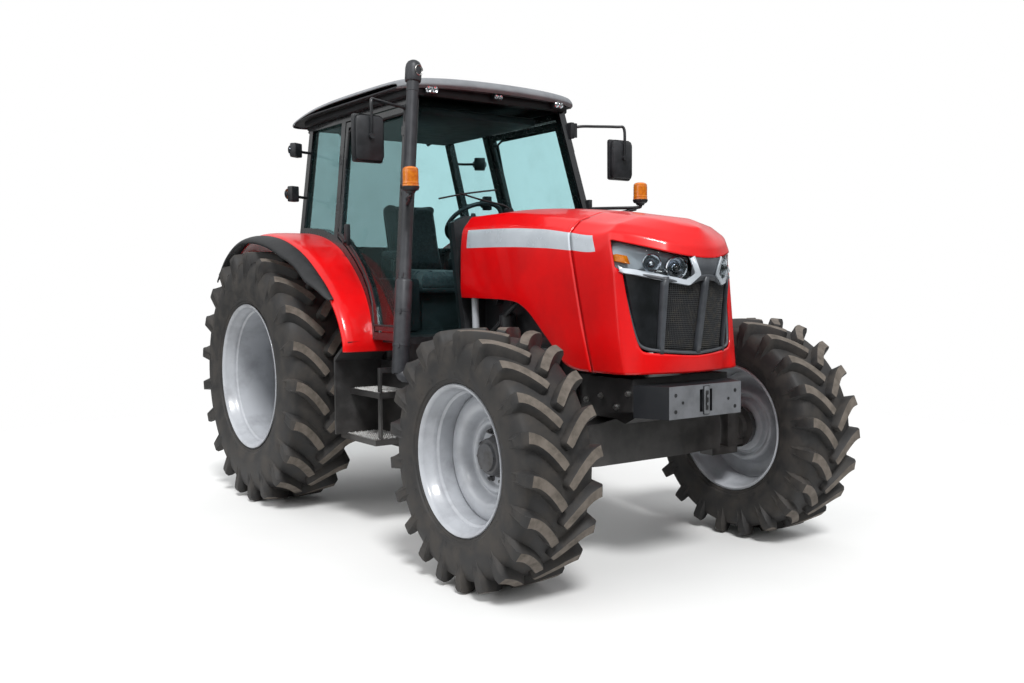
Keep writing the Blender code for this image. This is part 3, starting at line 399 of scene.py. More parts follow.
for axle, wheel in wheels.items():
    for hand, side in hands:
        centre = Vector((side * wheel["centre"][0], *wheel["centre"][1:]))
        body = f"{axle}_wheel_{hand}"
        crown = wheel["radius"] - wheel["lug"]
        outline = [(side * wheel["half"] * w, wheel["flange"] + (crown - wheel["flange"]) * f)
                   for w, f in casing]
        outline = outline + [(-a, r) for a, r in reversed(outline[:-1])]
        bm = bmesh.new()
        addTurned(bm, smoothProfile(outline), centre, steps=84)
        for k in range(wheel["count"]):
            pitch = math.tau / wheel["count"]
            addLug(bm, wheel, centre, side, pitch * k)
            addLug(bm, wheel, centre, -side, pitch * (k + 0.5))
        addPiece(f"{axle}Tyre{hand.title()}", bm, [tyreCasing, tyreWorn], body,
                 [f"{axle}_tyre_{hand}"], sharp=38)
        half, flange = wheel["rim"], wheel["flange"]
        barrel = [(half - inward, flange - drop) for inward, drop in barrelOuter]
        barrel += [(-half + inward, flange - drop) for inward, drop in barrelInner]
        bm = bmesh.new()
        addTurned(bm, [(side * a, r) for a, r in barrel], centre)
        addPiece(f"{axle}Barrel{hand.title()}", bm, [wheelSilver], body,
                 [f"{axle}_rim_{hand}"], sharp=40, solid=0.006)
        bm = bmesh.new()
        addTurned(bm, [(side * a, r) for a, r in smoothProfile(wheel["disc"])], centre)
        addPiece(f"{axle}Disc{hand.title()}", bm, [wheelSilver], body, sharp=40, solid=0.006)
        bm = bmesh.new()
        addTurned(bm, [(side * a, r) for a, r in wheel["hub"]], centre, steps=48)
        count, ring, face = wheel["nuts"]
        for k in range(count):
            a = math.tau * (k + 0.5) / count
            spot = centre + Vector((side * face, math.cos(a) * ring, math.sin(a) * ring))
            addRod(bm, spot, spot + Vector((side * 0.008, 0, 0)), 0.017, 20)
            addRod(bm, spot, spot + Vector((side * 0.026, 0, 0)), 0.0125, 6)
            addRod(bm, spot, spot + Vector((side * 0.036, 0, 0)), 0.0075, 12)
        for k in range(6):
            a = math.tau * k / 6
            r = wheel["hub"][-3][1] - 0.004
            spot = centre + Vector((side * (wheel["hub"][-2][0] - 0.012), math.cos(a) * r, math.sin(a) * r))
            addRod(bm, spot, spot + Vector((side * 0.010, 0, 0)), 0.008, 6)
        addPiece(f"{axle}Hub{hand.title()}", bm, [greyCasting], body, sharp=35)
print("wheels done")

# hood: columns run from the cab forward and round the nose, rows from the sill to the centre line
def noseY(x, z):
    rise = min((z - 1.06) / 0.54, 1)
    return -2.062 - 0.088 * rise + (1.28 + 1.72 * rise) * abs(x) ** 2.5


sillLine = [(-0.500, 1.434), (-0.545, 1.434), (-0.700, 1.432), (-0.868, 1.429), (-1.000, 1.424),
            (-1.101, 1.410), (-1.205, 1.352), (-1.297, 1.266), (-1.362, 1.176), (-1.415, 1.058)]
gapTop, gapFoot = (-1.546, 1.784), (-1.738, 1.056)


def gapY(z):
    return gapTop[0] + (gapFoot[0] - gapTop[0]) * (gapTop[1] - z) / (gapTop[1] - gapFoot[1])


# height at a place along the hood of the stripe foot, stripe top, crease and centre line
def alongHood(y, table):
    for (y0, z0), (y1, z1) in zip(table, table[1:]):
        if y >= y1:
            return z0 + (z1 - z0) * (y0 - y) / (y0 - y1)
    return table[-1][1]


stripeFoot = [(-0.50, 1.742), (-0.80, 1.740), (-1.10, 1.730), (-1.35, 1.714), (-1.57, 1.690), (-1.80, 1.652)]
stripeTop = [(-0.50, 1.844), (-0.80, 1.841), (-1.10, 1.831), (-1.35, 1.813), (-1.57, 1.783), (-1.80, 1.742)]
creaseLine = [(-0.47, 1.926), (-0.88, 1.930), (-1.27, 1.890), (-1.54, 1.850), (-1.80, 1.806)]
crownLine = [(-0.47, 1.955), (-0.70, 1.966), (-0.94, 1.967), (-1.22, 1.946), (-1.48, 1.921), (-1.72, 1.888),
             (-1.945, 1.838), (-2.088, 1.797)]


def sideColumn(y, sill, lean, stripeLean=0.0):
    column = []
    for share, x in ((0, 0.422), (0.22, 0.428), (0.55, 0.430), (1, 0.428)):
        z = sill + (1.585 - sill) * share
        column.append(Vector((x, y + (gapY(z) - gapTop[0]) * lean, z)))
    for line, x, slip in ((stripeFoot, 0.426, stripeLean), (stripeTop, 0.414, 0)):
        z = alongHood(y, line)
        column.append(Vector((x, y + (gapY(z) - gapTop[0]) * lean - slip, z)))
    column.append(Vector((0.345, y, alongHood(y, creaseLine))))
    column.append(Vector((0.180, y, alongHood(y, crownLine) - 0.012)))
    column.append(Vector((0.0, y, alongHood(y, crownLine))))
    return column


def noseColumn(x, foot, low, lampFoot, lampTop, brow, fold, half, tip):
    column = [Vector((x, noseY(x, z) + back, z)) for z, back in
              ((1.056, 0), (foot, 0), (low, 0), (lampFoot, 0.0))]
    return column + [Vector(p) for p in (lampTop, brow, fold, half, tip)]


rear = [sideColumn(y, z, 0) for y, z in sillLine[:-2]]
rear += [sideColumn(-1.355, 1.176, 0.35), sideColumn(-1.405, 1.058, 0.6)]
gapColumn = sideColumn(gapTop[0], 1.058, 1)
front = [
    sideColumn(-1.735, 1.058, 0.85, 0.030),
    [Vector((0.402, -1.968, 1.058)), Vector((0.410, -1.950, 1.165)), Vector((0.414, -1.926, 1.380)),
     Vector((0.414, -1.903, 1.598)), Vector((0.406, -1.860, 1.737)), Vector((0.397, -1.848, 1.778)),
     Vector((0.335, -1.845, 1.818)), Vector((0.170, -1.835, 1.860)), Vector((0.0, -1.830, 1.870))],
    [Vector((0.345, -2.000, 1.057)), Vector((0.334, -1.990, 1.178)), Vector((0.362, -1.945, 1.395)),
     Vector((0.378, -1.918, 1.574)), Vector((0.360, -1.932, 1.718)), Vector((0.346, -1.925, 1.766)),
     Vector((0.278, -1.910, 1.806)), Vector((0.145, -1.905, 1.846)), Vector((0.0, -1.905, 1.853))],
    noseColumn(0.295, 1.166, 1.385, 1.552, (0.295, -2.006, 1.697), (0.280, -1.997, 1.746),
               (0.220, -1.972, 1.790), (0.115, -1.965, 1.828), (0.0, -1.965, 1.836)),
    noseColumn(0.225, 1.160, 1.375, 1.533, (0.222, -2.078, 1.672), (0.208, -2.064, 1.722),
               (0.156, -2.028, 1.772), (0.080, -2.015, 1.812), (0.0, -2.015, 1.822)),
    noseColumn(0.108, 1.150, 1.370, 1.508, (0.100, -2.138, 1.644), (0.096, -2.126, 1.698),
               (0.072, -2.085, 1.760), (0.040, -2.062, 1.796), (0.0, -2.060, 1.806)),
    noseColumn(0.0, 1.142, 1.370, 1.545, (0.0, -2.150, 1.640), (0.0, -2.142, 1.694),
               (0.0, -2.106, 1.756), (0.0, -2.086, 1.786), (0.0, -2.078, 1.798)),
]
lampCells = {(2, 3), (3, 3), (4, 3), (5, 3)}
grilleCells = {(c, r) for c in (3, 4, 5, 6) for r in (1, 2)}
plateCell = {(6, 3)}
rearCreases = {("row", 5): 0.35, ("row", 4): 0.2, ("row", 6): 0.65, ("row", 7): 0.6}
noseCreases = {("row", 5): 0.45, ("row", 6): 0.70, ("row", 4): 0.9, ("column", 5): 0.75, ("column", 2): 0.6,
               ("column", 7): 0.2, ("row", 7): 0.6}


def mirrorAcross(bm):
    bmesh.ops.mirror(bm, geom=bm.verts[:] + bm.edges[:] + bm.faces[:], axis="X", merge_dist=1e-4)


def markCreases(bm, columns, marks):
    layer = bm.edges.layers.float.get("crease_edge") or bm.edges.layers.float.new("crease_edge")
    where = {}
    for i, column in enumerate(columns):
        for j, spot in enumerate(column):
            where[tuple(round(c, 4) for c in spot)] = (i, j)
    for edge in bm.edges:
        ends = [where.get(tuple(round(c, 4) for c in v.co)) for v in edge.verts]
        if None in ends:
            continue
        for (kind, index), amount in marks.items():
            pick = 1 if kind == "row" else 0
            if ends[0][pick] == ends[1][pick] == index:
                edge[layer] = max(edge[layer], amount)


def hoodShell(name, columns, skip, mats, marks, materials, solid=0.007, levels=3, replaced=()):
    bm = bmesh.new()
    addSheet(bm, columns, skip=skip, mats=mats)
    markCreases(bm, columns, marks)
    mirrorAcross(bm)
    return addPiece(name, bm, materials, "hood", replaced, solid=solid, levels=levels)


halfGap = [Vector((0, 0.0028 if row < 6 else 0.0001, 0)) for row in range(9)]
back = rear + [[p + g for p, g in zip(gapColumn, halfGap)]]
ahead = [[p - g for p, g in zip(gapColumn, halfGap)]] + front
stripeCells = {(i, 4): 1 for i in range(1, len(back))}
hoodShell("hoodRear", back, set(), stripeCells, rearCreases, [redPaint, silverTrim], replaced=["hood"])
hoodShell("hoodNose", ahead, lampCells | grilleCells | plateCell, {(0, 4): 1}, noseCreases,
          [redPaint, silverTrim])
# painted shade: a dark sheet just behind the panel gap darkens the gap
bm = bmesh.new()
addSheet(bm, [[p + Vector((-0.010 if p.x > 0.02 else 0, dy, -0.008)) for p in gapColumn]
              for dy in (0.02, -0.02)])
mirrorAcross(bm)
addPiece("hoodGapShadeSheet", bm, [sealRubber], "hood", solid=0.002, levels=2)


# every cell of the nose but those kept
def noseCellsBut(kept):
    return {(i, j) for i in range(len(ahead) - 1) for j in range(8)} - kept


# dark nose plate between the lamps
bm = bmesh.new()
addSheet(bm, ahead, skip=noseCellsBut(plateCell))
mirrorAcross(bm)
addPiece("nosePlate", bm, [darkTrim], "hood", solid=0.006, levels=1)


# the grille follows the nose: gauze in the middle, smoked flanks, ribs and a raised frame
def grilleSpot(x, z, back=0.0):
    return Vector((x, noseY(x, z) + back, z))


grilleEdge = [(0.0, 1.156), (0.110, 1.164), (0.225, 1.174), (0.285, 1.184), (0.318, 1.205), (0.332, 1.245),
              (0.344, 1.310), (0.356, 1.400), (0.366, 1.490), (0.372, 1.568)]
grilleTop = [(0.372, 1.575), (0.300, 1.556), (0.225, 1.536), (0.108, 1.512), (0.060, 1.545), (0.0, 1.552)]
bm = bmesh.new()
addSheet(bm, [[grilleSpot(x - 0.05 * (x > 0.3) * (1 - k / 8), 1.165 + 0.42 * k / 8, 0.022) for k in range(9)]
              for x in (0.214, 0.255, 0.295, 0.335, 0.372)])
mirrorAcross(bm)
addPiece("grilleFlanks", bm, [smokePanel], "hood", ["grille"], solid=0.003, levels=1)
bm = bmesh.new()
addSheet(bm, [[grilleSpot(x, 1.145 + 0.43 * k / 8, 0.034) for k in range(9)]
              for x in (0.0, 0.06, 0.12, 0.18, 0.24)])
mirrorAcross(bm)
addPiece("grilleShadow", bm, [sealRubber], "hood", solid=0.002)
bm = bmesh.new()
across, tall = 21, 38
addSheet(bm, [[grilleSpot(0.016 + 0.202 * i / across, 1.158 + 0.40 * k / tall, 0.022)
               for k in range(tall + 1)] for i in range(across + 1)])
mirrorAcross(bm)
wires = addPiece("grilleGauze", bm, [gauze], "hood")
wire = wires.modifiers.new("wire", "WIREFRAME")
wire.thickness, wire.use_even_offset = 0.0032, False
frameLine = [grilleSpot(x, z, 0.004) for x, z in grilleEdge + grilleTop]
paths = [[(p.x * s, p.y, p.z) for p in frameLine] for s in (-1, 1)]
addPipe("grilleFrame", paths, 0.0085, darkTrim, "hood", steps=3)
bm = bmesh.new()
for x in (-0.222, 0.0, 0.222):
    wide = 0.014 if x else 0.020
    for k in range(8):
        low, high = 1.158 + 0.048 * k, 1.158 + 0.048 * (k + 1)
        zs = (low, high if k < 7 else 1.548)
        outline = [grilleSpot(x + dx, z, b) for z in zs for dx, b in
                   ((-wide, 0.016), (-wide * 0.55, -0.003), (wide * 0.55, -0.003), (wide, 0.016))]
        addSheet(bm, [outline[:4], outline[4:]])
addPiece("grilleRibs", bm, [darkTrim], "hood", solid=0.004)
print("hood done")

# headlamps: a metallised bowl behind a clear cover, with an amber rear part
lampRing = {"centre": (0.166, -2.088, 1.590), "radius": 0.050}
for hand, side in hands:
    covers = bmesh.new()
    addSheet(covers, ahead, skip=noseCellsBut(lampCells))
    toSide(covers, side)
    addPiece(f"lampCover{hand.title()}", covers, [clearLens], "hood",
             [f"headlamp_{hand}"], solid=0.003, levels=2)
    bowl = bmesh.new()
    addSheet(bowl, ahead, skip=noseCellsBut(lampCells))
    for vert in bowl.verts:
        vert.co += Vector((-0.018, 0.046, 0.0)) * (0.8 if vert.co.x > 0.3 else 1.3)
        vert.co.x *= side
    addPiece(f"lampBowl{hand.title()}", bowl, [silverTrim], "hood", solid=0.003, levels=2)
    x, y, z = lampRing["centre"]
    face = Vector((side * 0.42, -1, -0.04)).normalized()
    spot = Vector((side * x, y, z))
    bm = bmesh.new()
    r = lampRing["radius"]
    addTurned(bm, [(-0.030, r * 0.55), (-0.010, r * 0.80), (0.004, r), (0.008, r * 1.08), (0.004, r * 1.16),
                   (-0.012, r * 1.2)], spot, face, 48)
    addTurned(bm, [(-0.028, 0.0001), (-0.010, r * 0.25), (0.0, r * 0.36), (0.003, r * 0.44),
                   (-0.008, r * 0.50), (-0.030, r * 0.52)], spot, face, 40)
    addPiece(f"lampRing{hand.title()}", bm, [chrome], "hood")
    bm = bmesh.new()
    addTurned(bm, [(0.014, 0.0001), (0.012, r * 0.18), (0.005, r * 0.34), (-0.006, r * 0.42)], spot, face, 32)
    addPiece(f"lampProjector{hand.title()}", bm, [smokePanel], "hood")
    second = spot + Vector((side * 0.104, 0.068, 0.026))
    bm = bmesh.new()
    addTurned(bm, [(-0.034, r * 0.30), (-0.010, r * 0.72), (0.0, r * 0.86), (-0.004, r * 0.95),
                   (-0.018, r)], second, Vector((side * 0.75, -1, 0)), 40)
    addTurned(bm, [(-0.010, 0.0001), (-0.016, r * 0.20), (-0.030, r * 0.26)], second,
              Vector((side * 0.75, -1, 0)), 24)
    addPiece(f"lampSecond{hand.title()}", bm, [chrome], "hood")
    bm = bmesh.new()
    low = [Vector((0.402, -1.886, 1.628)), Vector((0.384, -1.912, 1.622)), Vector((0.350, -1.950, 1.612))]
    addSheet(bm, [[p + Vector((-0.002 * k, 0.010 * k, 0.014 * k)) for k in range(4)] for p in low])
    for vert in bm.verts:
        vert.co.x = (vert.co.x - 0.008) * side
        vert.co.y += 0.012
    addPiece(f"lampAmber{hand.title()}", bm, [amberLens], "hood", solid=0.004, levels=1)
    # bright flat frame under the cover and round its inner end
    outer = [(0.400, -1.922, 1.576), (0.380, -1.932, 1.566), (0.331, -1.974, 1.556), (0.249, -2.052, 1.532),
             (0.160, -2.108, 1.511), (0.122, -2.126, 1.503), (0.112, -2.130, 1.505), (0.056, -2.147, 1.552),
             (0.058, -2.148, 1.562), (0.096, -2.142, 1.648)]
    inner = [(0.400, -1.912, 1.606), (0.380, -1.922, 1.594), (0.331, -1.966, 1.586), (0.249, -2.046, 1.563),
             (0.162, -2.104, 1.541), (0.132, -2.118, 1.533), (0.124, -2.122, 1.535), (0.086, -2.136, 1.562),
             (0.086, -2.138, 1.572), (0.114, -2.134, 1.642)]
    bm = bmesh.new()
    addSheet(bm, [[Vector((side * a[0], a[1] + 0.006, a[2])),
                   Vector((side * a[0], a[1] - 0.003, a[2] + 0.003)),
                   Vector((side * b[0], b[1] - 0.003, b[2] - 0.002)),
                   Vector((side * b[0], b[1] + 0.008, b[2]))] for a, b in zip(outer, inner)])
    addPiece(f"lampFrame{hand.title()}", bm, [silverTrim], "hood", sharp=40, solid=0.003)
print("lamps done")

# fenders: a crowned skin over the wheel, and a rubber lip beyond it
archLine = [(-0.154, 1.105), (-0.148, 1.180), (-0.085, 1.310), (0.010, 1.430), (0.125, 1.535), (0.252, 1.625),
            (0.400, 1.712), (0.556, 1.783), (0.800, 1.850), (1.100, 1.884), (1.350, 1.860), (1.600, 1.755),
            (1.785, 1.592)]


def archColumns(line, across, widen=None):
    path = smoothLine([(0, y, z) for y, z in line], 4)
    columns = []
    for i, spot in enumerate(path):
        along = (path[min(i + 1, len(path) - 1)] - path[max(i - 1, 0)]).normalized()
        outward = Vector((0, -along.z, along.y))
        grow = widen(i / (len(path) - 1)) if widen else 1
        start = across[0][0]
        columns.append([Vector((start + (x - start) * grow, spot.y, spot.z)) + outward * rise * grow
                        for x, rise in across])
    return columns


def lipGrowth(share):
    return min(0.22 + share * 3.4, 0.80) if share < 0.30 else min(0.80 + (share - 0.30) * 1.6, 1.0)


# across each fender and lip: distance from the centre plane, rise above the arch
fenderAcross = [(0.662, -0.006), (0.668, 0.0), (0.72, 0.002), (0.84, 0.003), (0.96, 0.001), (1.020, -0.006),
                (1.042, -0.018), (1.047, -0.034)]
lipAcross = [(1.040, -0.022), (1.066, -0.018), (1.105, -0.024), (1.145, -0.040), (1.160, -0.054),
             (1.160, -0.074)]
for hand, side in hands:
    bm = bmesh.new()
    addSheet(bm, archColumns(archLine, fenderAcross))
    toSide(bm, side)
    addPiece(f"fenderSkin{hand.title()}", bm, [redPaint], "chassis", [f"fender_{hand}"],
             solid=0.006, levels=1)
    bm = bmesh.new()
    addSheet(bm, archColumns(archLine[3:], lipAcross, lipGrowth))
    toSide(bm, side)
    addPiece(f"fenderLip{hand.title()}", bm, [sealRubber], "chassis", [f"fender_lip_{hand}"],
             solid=0.006, levels=1)
    # bulb seal between fender and cab
    seal = smoothLine([(0, y, z) for y, z in archLine[1:10]], 2)
    addPipe(f"fenderSeal{hand.title()}", [[(side * 0.664, p.y, p.z + 0.002) for p in seal]], 0.011,
            sealRubber, "chassis", steps=1)
print("fenders done")

# roof: a crowned skin with a turned-down edge over a black underside
# each station is x, front and rear edge, edge height and crown
roofStations = [(0.0, -0.345, 1.560, 2.745, 0.085), (0.20, -0.341, 1.560, 2.744, 0.085),
                (0.40, -0.330, 1.555, 2.740, 0.083), (0.56, -0.306, 1.540, 2.732, 0.080),
                (0.640, -0.270, 1.500, 2.728, 0.072), (0.676, -0.225, 1.420, 2.728, 0.058),
                (0.688, -0.200, 1.360, 2.730, 0.036)]
# share of the way back, share of the crown
roofProfile = [(0.012, -0.02), (0.0, 0.16), (0.002, 0.40), (0.012, 0.66), (0.05, 0.86), (0.18, 0.96),
               (0.42, 1.04), (0.62, 1.02), (0.80, 0.88), (0.93, 0.60), (0.99, 0.34), (1.0, 0.16),
               (0.992, -0.02)]
columns = []
for x, edgeFront, edgeRear, low, lift in roofStations:
    droop = 0.030 if x else 0.020
    columns.append([Vector((x, edgeFront + (edgeRear - edgeFront) * a,
                            low + lift * b - droop * max(a - 0.75, 0) * 4)) for a, b in roofProfile])
bm = bmesh.new()
addSheet(bm, columns)
markCreases(bm, columns, {("row", 3): 0.5, ("row", 1): 0.4})
mirrorAcross(bm)
addPiece("roofSkin", bm, [roofSkin], "chassis", ["roof"], solid=0.006, levels=2)
bm = bmesh.new()
addSheet(bm, [[Vector((x, edgeFront + 0.02 + (edgeRear - edgeFront - 0.06) * k / 6,
                       low + 0.004 - (0.02 if k == 6 else 0))) for k in range(7)]
              for x, edgeFront, edgeRear, low, lift in roofStations])
mirrorAcross(bm)
addPiece("roofUnderside", bm, [blackPlastic], "chassis", solid=0.010)
bm = bmesh.new()
addBox(bm, (-0.60, -0.262, 2.690), (0.60, -0.215, 2.745), 0.008)
addBox(bm, (-0.56, 1.20, 2.672), (0.56, 1.42, 2.735), 0.010)
for side in (-1, 1):
    addBox(bm, (side * 0.585 - 0.050, -0.22, 2.684), (side * 0.585 + 0.050, 1.30, 2.740), 0.012)
addPiece("roofRails", bm, [blackPlastic], "chassis", sharp=30)


def workLamp(name, spot, face, width, height, lens=chrome):
    turn = Vector((0, -1, 0)).rotation_difference(Vector(face).normalized()).to_matrix().to_4x4()
    place = Matrix.Translation(spot) @ turn
    bm = bmesh.new()
    addBox(bm, (-width / 2, -0.006, -height / 2), (width / 2, 0.045, height / 2), 0.008)
    addBox(bm, (-width / 2 + 0.008, -0.010, -height / 2 + 0.008),
           (width / 2 - 0.008, -0.004, height / 2 - 0.008), 0.002, mat=1)
    bulb = [(-0.002, 0.0001), (0.006, height * 0.16), (0.010, height * 0.30), (0.006, height * 0.36)]
    for dx in (-0.25, 0.25):
        addTurned(bm, bulb, (dx * width, -0.004, 0), (0, -1, 0), 24, mat=2)
    bm.transform(place)
    addPiece(name, bm, [blackPlastic, lens, chrome], "chassis", sharp=30)


for hand, side in hands:
    workLamp(f"roofLamp{hand.title()}", (side * 0.498, -0.290, 2.722), (side * 0.18, -1, -0.06),
             0.085, 0.058)
    workLamp(f"rearLampHigh{hand.title()}", (side * 0.500, 1.440, 2.690), (side * 0.18, 1, -0.1),
             0.100, 0.056)
    workLamp(f"postLamp{hand.title()}", (side * 0.800, 1.120, 2.480), (side * 0.6, 1, 0), 0.085, 0.100)
    workLamp(f"markerLamp{hand.title()}", (side * 0.840, 1.085, 2.165), (side * 0.35, 1, 0), 0.070, 0.110,
             lens=amberLens)
    arms = [[(side * (0.60 + 0.171 * 0.22 - 0.02), 1.20, 2.480), (side * 0.70, 1.18, 2.480),
             (side * 0.785, 1.105, 2.480)],
            [(side * (0.60 + 0.171 * 0.54 - 0.02), 1.16, 2.150), (side * 0.75, 1.13, 2.150),
             (side * 0.830, 1.065, 2.155)]]
    addPipe(f"lampArms{hand.title()}", arms, 0.010, blackPaint, "chassis")
    workLamp(f"tailLamp{hand.title()}", (side * 0.86, 1.700, 1.735), (0, 1, 0.25), 0.20, 0.075, lens=redLens)
workLamp("roofLampMiddle", (0, -0.292, 2.724), (0, -1, -0.06), 0.070, 0.040)
print("roof done")

# cab trim: glass seals, wiper, handles, liner
# where the leaning side and front of the cab stand at a height
def sideX(z):
    return 0.60 + 0.171 * (2.70 - z)


def frontY(z):
    return -0.228 - 0.1824 * (2.70 - z)


for hand, side in hands:
    door = [(frontY(z) + 0.050, z) for z in (1.265, 1.9, 2.585)]
    rim = [(0.540, 2.585), (0.600, 2.560), (0.575, 2.2), (0.560, 1.872)]
    foot = [(0.400, 1.800), (0.252, 1.712), (0.125, 1.622), (0.010, 1.520), (-0.080, 1.400), (-0.135, 1.265)]
    loop = door + rim + foot
    addPipe(f"doorSeal{hand.title()}", [[(side * (sideX(z) - 0.006), y, z) for y, z in loop + loop[:1]]],
            0.009, sealRubber, f"door_{hand}", steps=1)
    bm = bmesh.new()
    z = 1.70
    x = sideX(z) + 0.014
    addBox(bm, (side * x - 0.014, 0.300, z + 0.075), (side * x + 0.014, 0.345, z + 0.215), 0.006)
    addRod(bm, (side * (x + 0.012), 0.322, z + 0.10), (side * (x + 0.034), 0.322, z + 0.10), 0.014, 16)
    addPiece(f"doorHandle{hand.title()}", bm, [blackPlastic], f"door_{hand}")
    # grab bars inside the door and on the post
    addPipe(f"grabBar{hand.title()}", [[(side * (sideX(1.45) - 0.06), frontY(1.45) + 0.10, 1.45),
                                        (side * (sideX(1.5) - 0.10), frontY(1.5) + 0.13, 1.52),
                                        (side * (sideX(1.9) - 0.10), frontY(1.9) + 0.13, 1.90),
                                        (side * (sideX(1.95) - 0.06), frontY(1.95) + 0.10, 1.97)]],
            0.011, blackPlastic, "chassis", steps=5)
addPipe("wiper", [[(0.03, frontY(2.00) - 0.030, 1.990), (-0.02, frontY(2.02) - 0.032, 2.020),
                   (-0.20, frontY(2.06) - 0.028, 2.052), (-0.34, frontY(2.09) - 0.026, 2.085)]], 0.006,
        sealRubber, "chassis")
addPipe("wiperBlade", [[(-0.50, frontY(2.045) - 0.020, 2.045), (-0.30, frontY(2.09) - 0.022, 2.085),
                        (-0.06, frontY(2.12) - 0.020, 2.120)]], 0.0055, sealRubber, "chassis")
bm = bmesh.new()
addRod(bm, (0.03, frontY(1.99) - 0.036, 1.985), (0.03, frontY(1.99) + 0.02, 1.99), 0.020, 20)
addBox(bm, (-0.46, -0.10, 2.600), (0.46, 1.10, 2.655), 0.02)
addPiece("roofLiner", bm, [blackPlastic], "chassis")
print("cab trim done")

# mirrors, beacons and the exhaust stack
mirror = {"head": (0.985, -0.364, 2.375), "armThickness": 0.010}
beacon = {"lens": (0.884, -0.687, 2.07), "ribs": 6, "ribPitch": 0.012, "armThickness": 0.011}
for hand, side in hands:
    head = Vector(mirror["head"])
    head.x *= side
    bm = bmesh.new()
    addBox(bm, head + Vector((-0.100, -0.010, -0.140)), head + Vector((0.100, 0.024, 0.140)), 0.014)
    addBox(bm, head + Vector((-0.096, -0.046, -0.136)), head + Vector((0.096, 0.010, 0.136)), 0.034)
    addBox(bm, head + Vector((-0.088, 0.020, -0.128)), head + Vector((0.088, 0.026, 0.128)), 0.003, mat=1)
    addRod(bm, head + Vector((0, -0.066, 0.010)), head + Vector((0, -0.030, 0.010)), 0.017, 20)
    post = Vector((side * (sideX(2.56) + 0.012), frontY(2.56) + 0.02, 2.565))
    addBox(bm, post + Vector((-0.016, -0.045, -0.055)), post + Vector((0.016, 0.020, 0.055)), 0.005)
    knuckle = post + Vector((side * 0.030, -0.030, 0))
    addRod(bm, knuckle - Vector((0, 0, 0.045)), knuckle + Vector((0, 0, 0.050)), 0.016, 20)
    addPiece(f"mirrorHead{hand.title()}", bm, [blackPlastic, chrome], "chassis",
             [f"mirror_{hand}"])
    root = (side * (sideX(2.58) + 0.006), frontY(2.58) + 0.02, 2.580)
    arm = [root, (side * 0.70, -0.280, 2.596), (side * 0.80, -0.315, 2.600), (side * 0.94, -0.385, 2.600),
           (side * 0.982, -0.412, 2.592), (side * 0.985, -0.420, 2.500), (side * 0.985, -0.416, 2.390)]
    addPipe(f"mirrorArm{hand.title()}", [arm], mirror["armThickness"], blackPaint, "chassis",
            steps=5)
    spot = Vector(beacon["lens"])
    spot.x *= side
    bm = bmesh.new()
    dome = [(-0.002, 0.046), (0.010, 0.0475), (0.016, 0.0455), (0.022, 0.0475)]
    for k in range(beacon["ribs"]):
        dome += [(0.026 + beacon["ribPitch"] * k, 0.0465), (0.032 + beacon["ribPitch"] * k, 0.0450)]
    dome += [(0.103, 0.0450), (0.112, 0.038), (0.118, 0.022), (0.120, 0.0001)]
    addTurned(bm, dome, spot, (0, 0, 1), 48)
    addTurned(bm, [(-0.034, 0.0001), (-0.034, 0.024), (-0.022, 0.030), (-0.016, 0.044), (-0.004, 0.050),
                   (0.004, 0.050), (0.006, 0.046)], spot, (0, 0, 1), 48, mat=1)
    addPiece(f"beaconDome{hand.title()}", bm, [amberLens, blackPlastic], "chassis",
             [f"beacon_{hand}"])
    low = Vector((side * (sideX(2.03) + 0.008), frontY(2.03) + 0.02, 2.030))
    arms = [[low, (side * 0.80, -0.500, 2.026), (side * 0.862, -0.640, 2.022), (side * 0.884, -0.687, 2.026),
             (side * 0.884, -0.687, 2.045)],
            [low + Vector((0, -0.01, -0.045)), (side * 0.81, -0.520, 1.990), (side * 0.870, -0.660, 2.012)]]
    addPipe(f"beaconArm{hand.title()}", arms, beacon["armThickness"], blackPaint, "chassis",
            steps=5)
    bm = bmesh.new()
    addBox(bm, low + Vector((-0.014, -0.035, -0.060)), low + Vector((0.014, 0.015, 0.060)), 0.004)
    for dz in (-0.035, 0.035):
        addRod(bm, low + Vector((side * 0.010, -0.010, dz)), low + Vector((side * 0.026, -0.010, dz)),
               0.009, 6)
    addPiece(f"beaconFoot{hand.title()}", bm, [blackPaint], "chassis", sharp=30)

stackFoot, stackHead = Vector((-0.920, -0.600, 1.000)), Vector((-0.680, -0.380, 2.770))
stackUp = (stackHead - stackFoot).normalized()
length = (stackHead - stackFoot).length
bm = bmesh.new()
rings = [(0.0, 0.034), (0.0, 0.047), (0.012, 0.050), (0.54, 0.050), (0.552, 0.046), (0.556, 0.040),
         (0.575, 0.0395), (0.60, 0.0365), (length - 0.10, 0.0355), (length - 0.098, 0.0375),
         (length - 0.04, 0.0385), (length - 0.035, 0.047), (length - 0.02, 0.050), (length + 0.045, 0.050),
         (length + 0.068, 0.046), (length + 0.084, 0.037), (length + 0.094, 0.022), (length + 0.097, 0.0001)]
addTurned(bm, rings, stackFoot, stackUp, 56)
for at in (0.16, 0.36, 0.575, 1.13):
    radius = 0.0525 if at < 0.55 else 0.0405
    addTurned(bm, [(at, radius - 0.004), (at, radius), (at + 0.016, radius), (at + 0.016, radius - 0.004)],
              stackFoot, stackUp, 48)
    spot = stackFoot + stackUp * (at + 0.008) + Vector((-0.030, -0.030, 0)).normalized() * radius
    addRod(bm, spot - stackUp * 0.012, spot + stackUp * 0.012, 0.007, 8)
mouth = stackHead + stackUp * 0.030 + Vector((0.010, -0.046, 0))
addTurned(bm, [(0.004, 0.033), (0.007, 0.030), (0.003, 0.026), (-0.014, 0.018), (-0.018, 0.0001)], mouth,
          (0.25, -1, 0.05), 32, mat=1)
addPiece("stack", bm, [exhaustPaint, bareSteel], "chassis", ["exhaust"], sharp=40)
